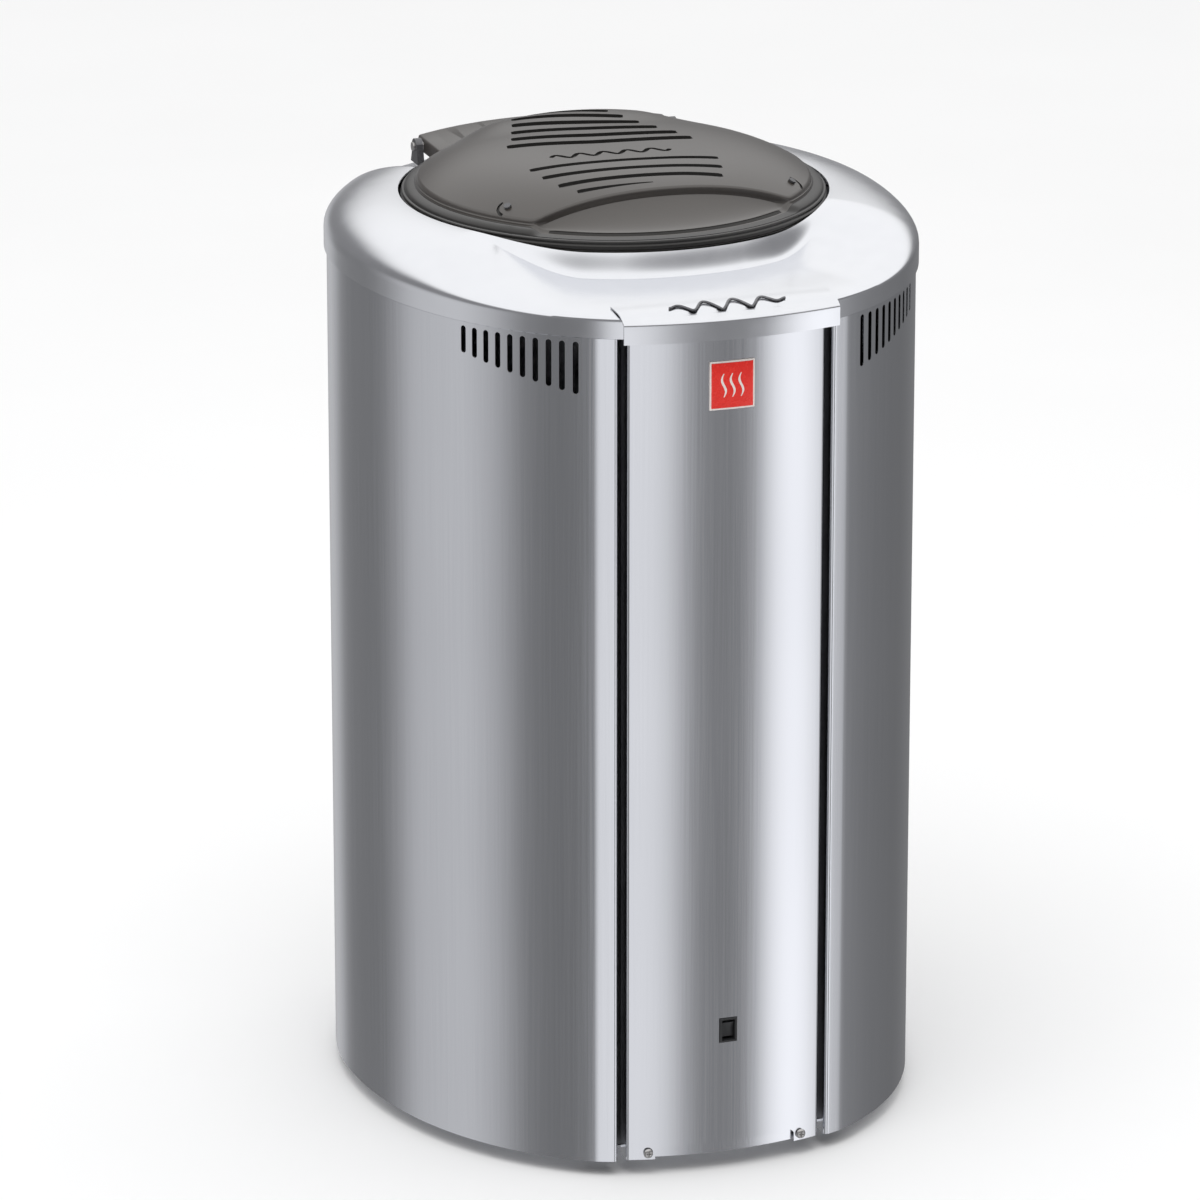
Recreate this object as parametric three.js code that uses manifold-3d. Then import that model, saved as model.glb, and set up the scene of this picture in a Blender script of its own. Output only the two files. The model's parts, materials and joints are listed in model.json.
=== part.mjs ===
// Free-standing electric sauna heater with a hinged, insulated lid over a steel stone tank.
// Millimetres, +Z up, front towards -Y, origin at the centre of the footprint on the floor.
import * as THREE from 'three';
import { mergeVertices } from 'three/addons/utils/BufferGeometryUtils.js';
import Module from 'manifold-3d';

const wasm = await Module();
wasm.setup();

// ---- driving dimensions ----------------------------------------------------
const FOOT_HEIGHT = 13; // floor to the lower edge of the casing
const SHEET = 1.2; // casing sheet thickness
const GAP = 0.3; // clearance between touching pieces

// plan outline of the casing: a superellipse about (0, PLAN_Y) with flats front and back
const HALF_WIDTH = 243;
const FRONT_DEPTH = 293.5;
const REAR_DEPTH = 254;
const PLAN_Y = 30;
const PLAN_POWER = 2.07;
const FRONT_FLAT = -250;
const REAR_FLAT = 265.2;
const REAR_PANEL_HALF = 88;

// casing heights, measured from the casing's lower edge
const CASING_TOP = 724;
const CORNER_RADIUS = 3;
const CORNER_FLANGE = 14;
const UPRIGHT_Y = -215;
const CORNER_X = 92;
const CORNER_PROUD = 1.3;
const STRIP_END_X = 107.5;

const PANEL_HALF = 86;
const PANEL_RADIUS = 291;
const PANEL_FRONT = -255;
const PANEL_FLANGE = 16;
const PANEL_BOTTOM = 1;
const PANEL_TOP = 716.5;
const NOTCH_HALF = 62;
const NOTCH_HEIGHT = 12;
const WINDOW_Z = 112;
const PANEL_SCREW_X = 68;
const PANEL_SCREW_Z = 7;

const SLOT_COUNT = 10;
const SLOT_WIDTH = 5;
const SLOT_FIRST_X = 195;
const SLOT_PITCH = 11.5;
const SLOT_TOP = 713;
const SLOT_SHORT = 23;
const SLOT_LONG = 44;

const LIP_BOTTOM = 717;
const LIP_TOP = 733;
const LIP_GROW = 2.3; // lip overhang beyond the casing
const COLLAR_SHEET = 1.4;
const NECK_TOP = 757.5;
const SHELF_RISE = 5;
const REAR_DECK = 749;

const VISOR_HALF = 93;
const VISOR_RADIUS = 382;
const VISOR_FRONT = -267.5;
const VISOR_REAR = -222;
const VISOR_SHEET = 1.2;
const VISOR_CLEARANCE = 0.8;
const ORNAMENT_HALF = 50;
const ORNAMENT_HEIGHT = 7;
const ORNAMENT_WAVES = 4;
const ORNAMENT_Y = -243;

const LID_Y = 39; // centre of the lid, the seat and the stone tank
const SEAT_Z = 753;
const RIM_BOTTOM = 757;
const RIM_TOP = 766;
const RIM_RADIUS = 180;
const DOME_EDGE_RADIUS = 172;
const DOME_EDGE_Z = 773;
const DOME_RISE = 31;
const DOME_POWER = 3.8;
const COVER_WALL = 3;
const HANDLE_CHORD_Y = -84;
const HANDLE_HALF = 105;
const HANDLE_WALL = 7; // drop from the dome to the recess floor along the chord
const HANDLE_FLOOR_Z = 769;
const HANDLE_RADIUS = 163;
const LID_SCREW_X = 125;
const LID_SCREW_Y = -55;

const HINGE_Y = 220;
const HINGE_Z = 766;
const PIN_RADIUS = 4;
const HUMP_HALF = 112;
const HUMP_REAR = 232;
const HUMP_END_TOP = 773;
const HUMP_RISE = 9;

const TANK_RADIUS = 148;
const TANK_BOTTOM = 225;
const TANK_TOP = 749.6;
const TANK_WALL = 2;
const INSULATION_RADIUS = 188;

const ELEMENT_COUNT = 4;
const ELEMENT_RADIUS = 4.25;
const ELEMENT_RING = 95;
const ELEMENT_BEND = 30;
const ELEMENT_TOP = 600;

const RESET_X = -40;
const RESET_Y = -150;

// ---- materials -------------------------------------------------------------
function material(color, roughness, metalness) {
  return new THREE.MeshStandardMaterial({ color, roughness, metalness });
}
const brushed = () => material(0xb4b6ba, 0.32, 1);
const polished = () => material(0xd8dade, 0.16, 1);
const galvanised = () => material(0x9a9da1, 0.5, 0.9);
const darkSteel = () => material(0x3a3a3d, 0.45, 0.8);
const brownPlastic = () => material(0x5d544f, 0.55, 0);
const blackPlastic = () => material(0x161616, 0.5, 0);
const blackRubber = () => material(0x101010, 0.85, 0);
const wool = () => material(0xc9b98a, 0.95, 0);
const redEnamel = () => material(0xd81f1c, 0.3, 0);
const brassMetal = () => material(0xb08d45, 0.35, 1);
const greenBoard = () => material(0x1f5f38, 0.6, 0);

// ---- geometry helpers ------------------------------------------------------
function toSolid(geometry) {
  const bare = geometry.clone();
  bare.deleteAttribute('normal');
  bare.deleteAttribute('uv');
  const merged = mergeVertices(bare, 1e-4);
  return new wasm.Manifold(new wasm.Mesh({
    numProp: 3,
    vertProperties: Float32Array.from(merged.attributes.position.array),
    triVerts: Uint32Array.from(merged.index.array),
  }));
}

function toGeometry(solid) {
  const mesh = solid.getMesh();
  const geometry = new THREE.BufferGeometry();
  geometry.setAttribute('position', new THREE.BufferAttribute(Float32Array.from(mesh.vertProperties), 3));
  geometry.setIndex(new THREE.BufferAttribute(Uint32Array.from(mesh.triVerts), 1));
  return geometry;
}

function cut(geometry, ...tools) {
  let solid = toSolid(geometry);
  for (const tool of tools) {
    solid = solid.subtract(toSolid(tool));
  }
  return toGeometry(solid);
}

function join(first, ...others) {
  let solid = toSolid(first);
  for (const other of others) {
    solid = solid.add(toSolid(other));
  }
  return toGeometry(solid);
}

function signedVolume(positions, index) {
  const a = new THREE.Vector3();
  const b = new THREE.Vector3();
  const c = new THREE.Vector3();
  let volume = 0;
  for (let i = 0; i < index.length; i += 3) {
    a.fromArray(positions, 3 * index[i]);
    b.fromArray(positions, 3 * index[i + 1]);
    c.fromArray(positions, 3 * index[i + 2]);
    volume += a.dot(b.cross(c));
  }
  return volume;
}

// Joins equal closed loops of points into one closed body: round and back to the first
// loop, or with a flat cap on each end.
function loft(loops, round) {
  const count = loops[0].length;
  const positions = loops.flat().flatMap((point) => point.toArray());
  const index = [];
  const spans = round ? loops.length : loops.length - 1;
  for (let i = 0; i < spans; i += 1) {
    const here = i * count;
    const next = ((i + 1) % loops.length) * count;
    for (let j = 0; j < count; j += 1) {
      const k = (j + 1) % count;
      index.push(here + j, next + j, next + k, here + j, next + k, here + k);
    }
  }
  if (!round) {
    const last = (loops.length - 1) * count;
    for (let j = 1; j < count - 1; j += 1) {
      index.push(0, j, j + 1, last, last + j + 1, last + j);
    }
  }
  if (signedVolume(positions, index) < 0) {
    for (let i = 0; i < index.length; i += 3) {
      [index[i + 1], index[i + 2]] = [index[i + 2], index[i + 1]];
    }
  }
  const geometry = new THREE.BufferGeometry();
  geometry.setAttribute('position', new THREE.Float32BufferAttribute(positions, 3));
  geometry.setIndex(index);
  return geometry;
}

function box(x0, x1, y0, y1, z0, z1) {
  const geometry = new THREE.BoxGeometry(x1 - x0, y1 - y0, z1 - z0);
  return geometry.translate((x0 + x1) / 2, (y0 + y1) / 2, (z0 + z1) / 2);
}

// upright cylinder about (x, y)
function post(radius, x, y, z0, z1, sides = 24) {
  const geometry = new THREE.CylinderGeometry(radius, radius, z1 - z0, sides);
  return geometry.rotateX(Math.PI / 2).translate(x, y, (z0 + z1) / 2);
}

// cylinder along X from x0 to x1
function rod(radius, y, z, x0, x1, sides = 16) {
  const geometry = new THREE.CylinderGeometry(radius, radius, x1 - x0, sides);
  return geometry.rotateZ(Math.PI / 2).translate((x0 + x1) / 2, y, z);
}

// cylinder along Y from y0 to y1
function stud(radius, x, z, y0, y1, sides = 16) {
  const geometry = new THREE.CylinderGeometry(radius, radius, y1 - y0, sides);
  return geometry.translate(x, (y0 + y1) / 2, z);
}

// solid turned about the upright axis through (x, y); profile is [radius, z] pairs
function turnedAt(x, y, profile, sides) {
  const points = profile.map(([radius, z]) => new THREE.Vector2(radius, z));
  const upright = new THREE.LatheGeometry(points, sides).rotateX(Math.PI / 2).translate(x, y, 0);
  const kept = dropSlivers(mergeVertices(bareCopy(upright), 1e-4));
  if (signedVolume(kept.attributes.position.array, kept.index.array) < 0) {
    flipFaces(kept);
  }
  return kept;
}

// solid turned about the upright axis through the lid's centre
function turned(profile, sides = 48) {
  return turnedAt(0, LID_Y, profile, sides);
}

function bareCopy(geometry) {
  const bare = geometry.clone();
  bare.deleteAttribute('normal');
  bare.deleteAttribute('uv');
  return bare;
}

function dropSlivers(geometry) {
  const old = geometry.index.array;
  const index = [];
  for (let i = 0; i < old.length; i += 3) {
    const [a, b, c] = [old[i], old[i + 1], old[i + 2]];
    if (a !== b && b !== c && c !== a) {
      index.push(a, b, c);
    }
  }
  geometry.setIndex(index);
  return geometry;
}

function flipFaces(geometry) {
  const index = geometry.index.array;
  for (let i = 0; i < index.length; i += 3) {
    [index[i + 1], index[i + 2]] = [index[i + 2], index[i + 1]];
  }
}

function ringProfile(inner, outer, z0, z1) {
  return [[inner, z0], [outer, z0], [outer, z1], [inner, z1], [inner, z0]];
}

// round tube of the given radius along a list of points in one upright plane
function sweepTube(points, radius, sides, planeNormal) {
  const loops = points.map((point, i) => {
    const before = points[Math.max(i - 1, 0)];
    const after = points[Math.min(i + 1, points.length - 1)];
    const tangent = after.clone().sub(before).normalize();
    const across = new THREE.Vector3().crossVectors(tangent, planeNormal).normalize();
    const loop = [];
    for (let j = 0; j < sides; j += 1) {
      const angle = (2 * Math.PI * j) / sides;
      const offset = across.clone().multiplyScalar(radius * Math.cos(angle));
      loop.push(point.clone().add(offset).addScaledVector(planeNormal, radius * Math.sin(angle)));
    }
    return loop;
  });
  return loft(loops, false);
}

const smooth = (low, high, value) => {
  const t = Math.min(Math.max((value - low) / (high - low), 0), 1);
  return t * t * (3 - 2 * t);
};
const mix = (a, b, t) => a + (b - a) * t;

// ---- plan outline ----------------------------------------------------------
// point of the outline at an angle measured from the front (-Y) towards +X
function outlinePoint(angle, grow = 0) {
  const sine = Math.sin(angle);
  const cosine = -Math.cos(angle);
  const depth = (cosine < 0 ? FRONT_DEPTH : REAR_DEPTH) + grow;
  const across = Math.abs(sine / (HALF_WIDTH + grow)) ** PLAN_POWER;
  const along = Math.abs(cosine / depth) ** PLAN_POWER;
  const radius = (across + along) ** (-1 / PLAN_POWER);
  return new THREE.Vector2(radius * sine, PLAN_Y + radius * cosine);
}

function clippedOutline(angle, grow, frontFlat, rearFlat) {
  const point = outlinePoint(angle, grow);
  point.y = Math.min(Math.max(point.y, frontFlat), rearFlat);
  return point;
}

function angleAtX(x, front) {
  let low = front ? 0 : Math.PI / 2;
  let high = front ? Math.PI / 2 : Math.PI;
  for (let i = 0; i < 40; i += 1) {
    const middle = (low + high) / 2;
    const inside = outlinePoint(middle).x < x;
    if (inside === front) {
      low = middle;
    } else {
      high = middle;
    }
  }
  return (low + high) / 2;
}

// angle at which the grown outline reaches a flat at height y
function angleAtY(y, grow) {
  let low = 0;
  let high = Math.PI;
  for (let i = 0; i < 40; i += 1) {
    const middle = (low + high) / 2;
    if (outlinePoint(middle, grow).y < y) {
      low = middle;
    } else {
      high = middle;
    }
  }
  return (low + high) / 2;
}

// closed strip of the given thickness along an open path, thickened to the path's left
function stripShape(path, thickness) {
  const inner = path.map((point, i) => {
    const before = path[Math.max(i - 1, 0)];
    const after = path[Math.min(i + 1, path.length - 1)];
    const tangent = after.clone().sub(before).normalize();
    return new THREE.Vector2(point.x - tangent.y * thickness, point.y + tangent.x * thickness);
  });
  return new THREE.Shape([...path, ...inner.reverse()]);
}

function extruded(shape, z0, z1) {
  return new THREE.ExtrudeGeometry(shape, { depth: z1 - z0, bevelEnabled: false }).translate(0, 0, z0);
}

// ---- casing ----------------------------------------------------------------
// path of the right-hand casing sheet: flange, corner bend, strip in line with the panel's
// curve, side curve, rear flat
function casingPath() {
  const centreY = PANEL_FRONT + PANEL_RADIUS;
  const stripRadius = PANEL_RADIUS + CORNER_PROUD;
  const bend = new THREE.Vector2(CORNER_X + CORNER_RADIUS, 0);
  bend.y = centreY - Math.sqrt((stripRadius - CORNER_RADIUS) ** 2 - bend.x ** 2);
  const path = [new THREE.Vector2(CORNER_X, bend.y + CORNER_FLANGE)];
  const stripStart = Math.asin(bend.x / (stripRadius - CORNER_RADIUS));
  const bendSteps = 3;
  for (let i = 0; i < bendSteps; i += 1) {
    const angle = mix(-Math.PI, stripStart - Math.PI / 2, i / bendSteps);
    path.push(new THREE.Vector2(
      bend.x + CORNER_RADIUS * Math.cos(angle),
      bend.y + CORNER_RADIUS * Math.sin(angle),
    ));
  }
  const startAngle = angleAtX(STRIP_END_X, true);
  const stripEnd = Math.asin(STRIP_END_X / stripRadius);
  for (const angle of [stripStart, (stripStart + stripEnd) / 2]) {
    path.push(new THREE.Vector2(stripRadius * Math.sin(angle), centreY - stripRadius * Math.cos(angle)));
  }
  const endAngle = angleAtY(REAR_FLAT, 0);
  const sideSteps = 30;
  for (let i = 0; i <= sideSteps; i += 1) {
    const angle = mix(startAngle, endAngle, i / sideSteps);
    path.push(outlinePoint(angle));
  }
  path.push(new THREE.Vector2(REAR_PANEL_HALF + GAP, REAR_FLAT));
  return path;
}

// rounded slot cutters, evenly spaced along the outline
function slotCutters() {
  const cutters = [];
  let angle = angleAtX(SLOT_FIRST_X, true);
  for (let i = 0; i < SLOT_COUNT; i += 1) {
    const here = outlinePoint(angle);
    const tangent = outlinePoint(angle + 0.001).sub(here).normalize();
    const length = mix(SLOT_SHORT, SLOT_LONG, i / (SLOT_COUNT - 1));
    const radius = SLOT_WIDTH / 2;
    const shape = new THREE.Shape();
    shape.absarc(0, -radius, radius, 0, Math.PI, false);
    shape.absarc(0, radius - length, radius, Math.PI, 2 * Math.PI, false);
    const cutter = new THREE.ExtrudeGeometry(shape, { depth: 12, bevelEnabled: false, curveSegments: 3 });
    cutter.translate(0, 0, -6).rotateX(Math.PI / 2);
    cutter.rotateZ(Math.atan2(tangent.y, tangent.x)).translate(here.x, here.y, SLOT_TOP);
    cutters.push(cutter);
    let travelled = 0;
    while (travelled < SLOT_PITCH) {
      const before = outlinePoint(angle);
      angle -= 0.0005;
      travelled += before.distanceTo(outlinePoint(angle));
    }
  }
  return cutters;
}

function mirrored(geometry) {
  const solid = toSolid(geometry);
  return toGeometry(solid.mirror([1, 0, 0]));
}

function sideCasing() {
  return cut(extruded(stripShape(casingPath(), SHEET), 0, CASING_TOP), ...slotCutters());
}

function rearPanel() {
  const sheet = box(-REAR_PANEL_HALF, REAR_PANEL_HALF, REAR_FLAT - SHEET, REAR_FLAT, 0, CASING_TOP - 8);
  const cutters = [stud(11, 55, 60, REAR_FLAT - 8, REAR_FLAT + 8)];
  for (let row = 0; row < 5; row += 1) {
    const z = 660 - 14 * row;
    cutters.push(box(-60, 60, REAR_FLAT - 8, REAR_FLAT + 8, z - 2.5, z + 2.5));
  }
  return cut(sheet, ...cutters);
}

function panelArc(radius, centreY, halfWidth, steps) {
  const sweep = Math.asin(halfWidth / radius);
  const path = [];
  for (let i = 0; i <= steps; i += 1) {
    const angle = mix(-sweep, sweep, i / steps);
    path.push(new THREE.Vector2(radius * Math.sin(angle), centreY - radius * Math.cos(angle)));
  }
  return path;
}

function frontPanel() {
  const arc = panelArc(PANEL_RADIUS, PANEL_FRONT + PANEL_RADIUS, PANEL_HALF, 14);
  const left = arc[0];
  const right = arc[arc.length - 1];
  const path = [
    new THREE.Vector2(left.x, left.y + PANEL_FLANGE),
    ...arc,
    new THREE.Vector2(right.x, right.y + PANEL_FLANGE),
  ];
  const sheet = extruded(stripShape(path, SHEET), PANEL_BOTTOM, PANEL_TOP);
  return cut(
    sheet,
    box(-NOTCH_HALF, NOTCH_HALF, -270, -245, -5, NOTCH_HEIGHT),
    box(-8, 8, -262, -245, WINDOW_Z - 11, WINDOW_Z + 11),
    stud(2.4, PANEL_SCREW_X, PANEL_SCREW_Z, -262, -235, 12),
    stud(2.4, -PANEL_SCREW_X, PANEL_SCREW_Z, -262, -235, 12),
  );
}

function panelScrew(side) {
  const x = side * PANEL_SCREW_X;
  const face = PANEL_FRONT + PANEL_RADIUS - Math.sqrt(PANEL_RADIUS ** 2 - PANEL_SCREW_X ** 2);
  const head = stud(4.2, x, PANEL_SCREW_Z, face - 3.6, face - 1.4, 14);
  const shank = stud(1.9, x, PANEL_SCREW_Z, face - 2, face + 9, 12);
  const slot = box(x - 5, x + 5, face - 5, face - 2.6, PANEL_SCREW_Z - 0.6, PANEL_SCREW_Z + 0.6);
  return cut(join(head, shank), slot);
}

// ---- base ------------------------------------------------------------------
function airSlots() {
  const slots = [];
  for (let i = 0; i < 5; i += 1) {
    slots.push(box(-35, 35, 110 + 18 * i, 118 + 18 * i, -5, 10));
  }
  return slots;
}

function basePlate() {
  const points = [];
  const steps = 48;
  for (let i = 0; i < steps; i += 1) {
    points.push(clippedOutline((2 * Math.PI * i) / steps, -5, -216, REAR_FLAT - 4));
  }
  const plate = extruded(new THREE.Shape(points), 2, 4);
  const lipArc = panelArc(PANEL_RADIUS - 3, PANEL_FRONT + PANEL_RADIUS, 80, 10);
  const lip = extruded(stripShape(lipArc, SHEET), 2, 24);
  const tongue = box(-78, 78, -243, -211, 2, 4);
  return cut(
    join(plate, tongue, lip),
    stud(2.3, PANEL_SCREW_X, PANEL_SCREW_Z, -262, -225, 12),
    stud(2.3, -PANEL_SCREW_X, PANEL_SCREW_Z, -262, -225, 12),
    post(6, RESET_X, RESET_Y, -5, 10, 16),
    ...airSlots(),
  );
}

// L-shaped upright behind the gap between the front panel and the right-hand casing
function frontUpright() {
  const face = box(76, 97, UPRIGHT_Y, UPRIGHT_Y + SHEET, 4 + GAP, 712);
  return join(face, box(97 - SHEET, 97, UPRIGHT_Y, -195, 4 + GAP, 712));
}

function foot(x, y) {
  const pad = [[0, -FOOT_HEIGHT], [15, -FOOT_HEIGHT], [17, 2 - FOOT_HEIGHT], [17, -5]];
  return turnedAt(x, y, [...pad, [6, -4], [6, 1.7], [0, 1.7]], 20);
}

// ---- collar and visor ------------------------------------------------------
// height of the collar's top surface; run is 0 at the lip and 1 at the lid seat
function collarHeight(angle, run) {
  const fromFront = Math.abs(Math.atan2(Math.sin(angle), Math.cos(angle)));
  const quarter = Math.sqrt(Math.max(1 - (1 - run) ** 2, 0));
  const side = LIP_TOP + 32 * quarter;
  const shelf = LIP_TOP + SHELF_RISE * Math.sqrt(Math.max(1 - (1 - Math.min(run / 0.75, 1)) ** 4, 0));
  const front = shelf + (NECK_TOP - LIP_TOP - SHELF_RISE) * smooth(0.9, 1.04, run) / smooth(0.9, 1.04, 1);
  const rear = LIP_TOP + (REAR_DECK - LIP_TOP) * Math.sqrt(Math.max(1 - (1 - Math.min(run * 1.6, 1)) ** 2, 0));
  const frontShare = 1 - smooth(0.45, 1.05, fromFront);
  const rearShare = smooth(2.28, 2.48, fromFront);
  return mix(mix(side, front, frontShare), rear, rearShare);
}

function collarPoint(angle, run, grow, drop) {
  const outer = clippedOutline(angle, LIP_GROW + grow, FRONT_FLAT - grow, REAR_FLAT + LIP_GROW + grow);
  const inner = new THREE.Vector2(Math.sin(angle), -Math.cos(angle)).multiplyScalar(182);
  const x = mix(outer.x, inner.x, run);
  const y = mix(outer.y, inner.y + LID_Y, run);
  return new THREE.Vector3(x, y, collarHeight(angle, run) - drop);
}

// even angles round the collar, and the corners of its two flats
function collarAngles() {
  const steps = 60;
  const angles = [];
  for (let i = 0; i < steps; i += 1) {
    angles.push(mix(-Math.PI, Math.PI, i / steps));
  }
  for (const grow of [0, -COLLAR_SHEET]) {
    const front = angleAtY(FRONT_FLAT - grow, LIP_GROW + grow);
    const rear = angleAtY(REAR_FLAT + LIP_GROW + grow, LIP_GROW + grow);
    angles.push(front, -front, rear, -rear);
  }
  return angles.sort((a, b) => a - b);
}

function topCollar() {
  const loops = [];
  const runs = [0, 0.05, 0.18, 0.4, 0.84, 0.91, 0.935, 0.96, 1];
  for (const angle of collarAngles()) {
    const loop = [];
    const lip = collarPoint(angle, 0, 0, 0);
    loop.push(new THREE.Vector3(lip.x, lip.y, LIP_BOTTOM));
    for (const run of runs) {
      loop.push(collarPoint(angle, run, 0, 0));
    }
    for (const run of [...runs].reverse()) {
      loop.push(collarPoint(angle, run, -COLLAR_SHEET, COLLAR_SHEET));
    }
    const inside = collarPoint(angle, 0, -COLLAR_SHEET, 0);
    loop.push(new THREE.Vector3(inside.x, inside.y, LIP_BOTTOM));
    loops.push(loop);
  }
  return loft(loops, true);
}

// underside of the visor's top skin, just above the collar's plateau
function visorUnderside(y) {
  const run = Math.max(y - FRONT_FLAT, 0) / 107;
  return collarHeight(0, run) + VISOR_CLEARANCE;
}

function frontVisor() {
  const loops = [];
  const steps = 14;
  const sweep = Math.asin(VISOR_HALF / VISOR_RADIUS);
  const ledges = [FRONT_FLAT, FRONT_FLAT + 5.5, FRONT_FLAT + 19, VISOR_REAR];
  for (let i = 0; i <= steps; i += 1) {
    const angle = mix(-sweep, sweep, i / steps);
    const x = VISOR_RADIUS * Math.sin(angle);
    const front = VISOR_FRONT + VISOR_RADIUS * (1 - Math.cos(angle));
    const section = [[front, LIP_BOTTOM - 2], [front, LIP_TOP - 3], [front + 2, LIP_TOP]];
    for (const y of ledges) {
      section.push([y, visorUnderside(y) + VISOR_SHEET]);
    }
    for (const y of [...ledges].reverse()) {
      section.push([y, visorUnderside(y)]);
    }
    section.push([front + 3, LIP_TOP - 1], [front + VISOR_SHEET, LIP_TOP - 3], [front + VISOR_SHEET, LIP_BOTTOM - 2]);
    loops.push(section.map(([y, z]) => new THREE.Vector3(x, y, z)));
  }
  return loft(loops, false);
}

function ornamentPoint(t) {
  const swell = 1 - (2 * t - 1) ** 4;
  const wave = ORNAMENT_HEIGHT * swell * Math.sin(2 * Math.PI * ORNAMENT_WAVES * t);
  return new THREE.Vector2(mix(-ORNAMENT_HALF, ORNAMENT_HALF, t), ORNAMENT_Y + wave);
}

function visorOrnament() {
  const loops = [];
  const steps = 56;
  for (let i = 0; i <= steps; i += 1) {
    const t = i / steps;
    const spot = ornamentPoint(t);
    const ahead = ornamentPoint(t + 0.001).sub(ornamentPoint(t - 0.001)).normalize();
    const z = visorUnderside(spot.y) + VISOR_SHEET + 2 * GAP;
    loops.push([
      new THREE.Vector3(spot.x + 1.4 * ahead.y, spot.y - 1.4 * ahead.x, z),
      new THREE.Vector3(spot.x - 1.4 * ahead.y, spot.y + 1.4 * ahead.x, z),
      new THREE.Vector3(spot.x, spot.y, z + 1.6),
    ]);
  }
  return loft(loops, false);
}

function badgePlate() {
  const arc = panelArc(PANEL_RADIUS + 2, PANEL_FRONT + PANEL_RADIUS, 19.5, 4);
  return extruded(stripShape(arc, 1.6), 653, 694);
}

// ---- switch ----------------------------------------------------------------
function switchBezel() {
  const frame = box(-7.6, 7.6, -256.4, -240, WINDOW_Z - 10.6, WINDOW_Z + 10.6);
  return cut(frame, box(-5.6, 5.6, -260, -243, WINDOW_Z - 9, WINDOW_Z + 9));
}

function powerRocker() {
  const shape = new THREE.Shape();
  shape.moveTo(-6.9, -1);
  shape.quadraticCurveTo(-7, -4.2, -6.6, -4.6);
  shape.quadraticCurveTo(0, -1.6, 6.6, -2.4);
  shape.lineTo(6.8, 1);
  shape.lineTo(0, 5);
  const rocker = new THREE.ExtrudeGeometry(shape, { depth: 10, bevelEnabled: false, curveSegments: 5 });
  rocker.translate(0, 0, -5).applyMatrix4(new THREE.Matrix4().set(
    0, 0, 1, 0,
    0, 1, 0, -250.5,
    -1, 0, 0, WINDOW_Z,
    0, 0, 0, 1,
  ));
  return toGeometry(toSolid(rocker));
}

// ---- seat, tank and heating --------------------------------------------------
const SWITCH_X = 40;
const SWITCH_Y = 194;

function lidSeatRing() {
  const ring = turned(ringProfile(145, 180.5, 750, SEAT_Z));
  return cut(ring, post(4.2, SWITCH_X, SWITCH_Y, 740, 760, 12));
}

function elementAngle(i) {
  return Math.PI / 4 + (i * 2 * Math.PI) / ELEMENT_COUNT;
}

function elementLegs(i) {
  const angle = elementAngle(i);
  return [-1, 1].map((side) => new THREE.Vector2(
    ELEMENT_RING * Math.cos(angle) - side * ELEMENT_BEND * Math.sin(angle),
    LID_Y + ELEMENT_RING * Math.sin(angle) + side * ELEMENT_BEND * Math.cos(angle),
  ));
}

function heatingElement(i) {
  const [first, second] = elementLegs(i);
  const along = new THREE.Vector3(second.x - first.x, second.y - first.y, 0).normalize();
  const middle = new THREE.Vector3((first.x + second.x) / 2, (first.y + second.y) / 2, 0);
  const points = [new THREE.Vector3(first.x, first.y, 188)];
  const bendSteps = 8;
  for (let j = 0; j <= bendSteps; j += 1) {
    const angle = Math.PI * (1 - j / bendSteps);
    const point = middle.clone().addScaledVector(along, ELEMENT_BEND * Math.cos(angle));
    point.z = ELEMENT_TOP - ELEMENT_BEND + ELEMENT_BEND * Math.sin(angle);
    points.push(point);
  }
  points.push(new THREE.Vector3(second.x, second.y, 188));
  const normal = new THREE.Vector3(-along.y, along.x, 0);
  return sweepTube(points, ELEMENT_RADIUS, 8, normal);
}

function legHoles(radius, z0, z1) {
  const holes = [];
  for (let i = 0; i < ELEMENT_COUNT; i += 1) {
    for (const leg of elementLegs(i)) {
      holes.push(post(radius, leg.x, leg.y, z0, z1, 10));
    }
  }
  holes.push(post(4, 0, LID_Y - 112, z0, z1, 12));
  return holes;
}

function stoneTank() {
  const inner = TANK_RADIUS - TANK_WALL;
  const tank = turned([
    [0, TANK_BOTTOM], [TANK_RADIUS, TANK_BOTTOM], [TANK_RADIUS, TANK_TOP], [inner, TANK_TOP],
    [inner, TANK_BOTTOM + TANK_WALL], [0, TANK_BOTTOM + TANK_WALL],
  ]);
  return cut(tank, ...legHoles(ELEMENT_RADIUS + 0.6, TANK_BOTTOM - 10, TANK_BOTTOM + 10));
}

function tankBaseInsulation() {
  const disc = turned([[0, 207], [144, 207], [144, TANK_BOTTOM - GAP], [0, TANK_BOTTOM - GAP]], 36);
  return cut(disc, ...legHoles(ELEMENT_RADIUS + 1.5, 200, 230));
}

function elementPlate() {
  const disc = turned([[0, 203], [134, 203], [134, 206], [0, 206]], 36);
  return cut(disc, ...legHoles(ELEMENT_RADIUS + 0.6, 195, 215));
}

function tankLeg(i) {
  const angle = elementAngle(i);
  const x = 139 * Math.cos(angle);
  const y = LID_Y + 139 * Math.sin(angle);
  const outer = box(-9, 9, -9, 9, 4 + GAP, 203 - GAP);
  const leg = cut(outer, box(-6.5, 9.5, -6.5, 9.5, 0, 210));
  return leg.rotateZ(angle + Math.PI * 1.25).translate(x, y, 0);
}

function heatShield() {
  const shield = turned(ringProfile(194, 195.2, 60, 700), 60);
  return cut(shield, box(-80, 80, -170, -120, 0, 240));
}

// ---- electrical compartment --------------------------------------------------
function controlBox() {
  const tray = box(-75, 75, -215, -95, 14, 70);
  const hollow = cut(tray, box(-73.5, 73.5, -213.5, -96.5, 15.5, 80));
  return cut(hollow, post(7, RESET_X, RESET_Y, 10, 20, 16));
}

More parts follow.
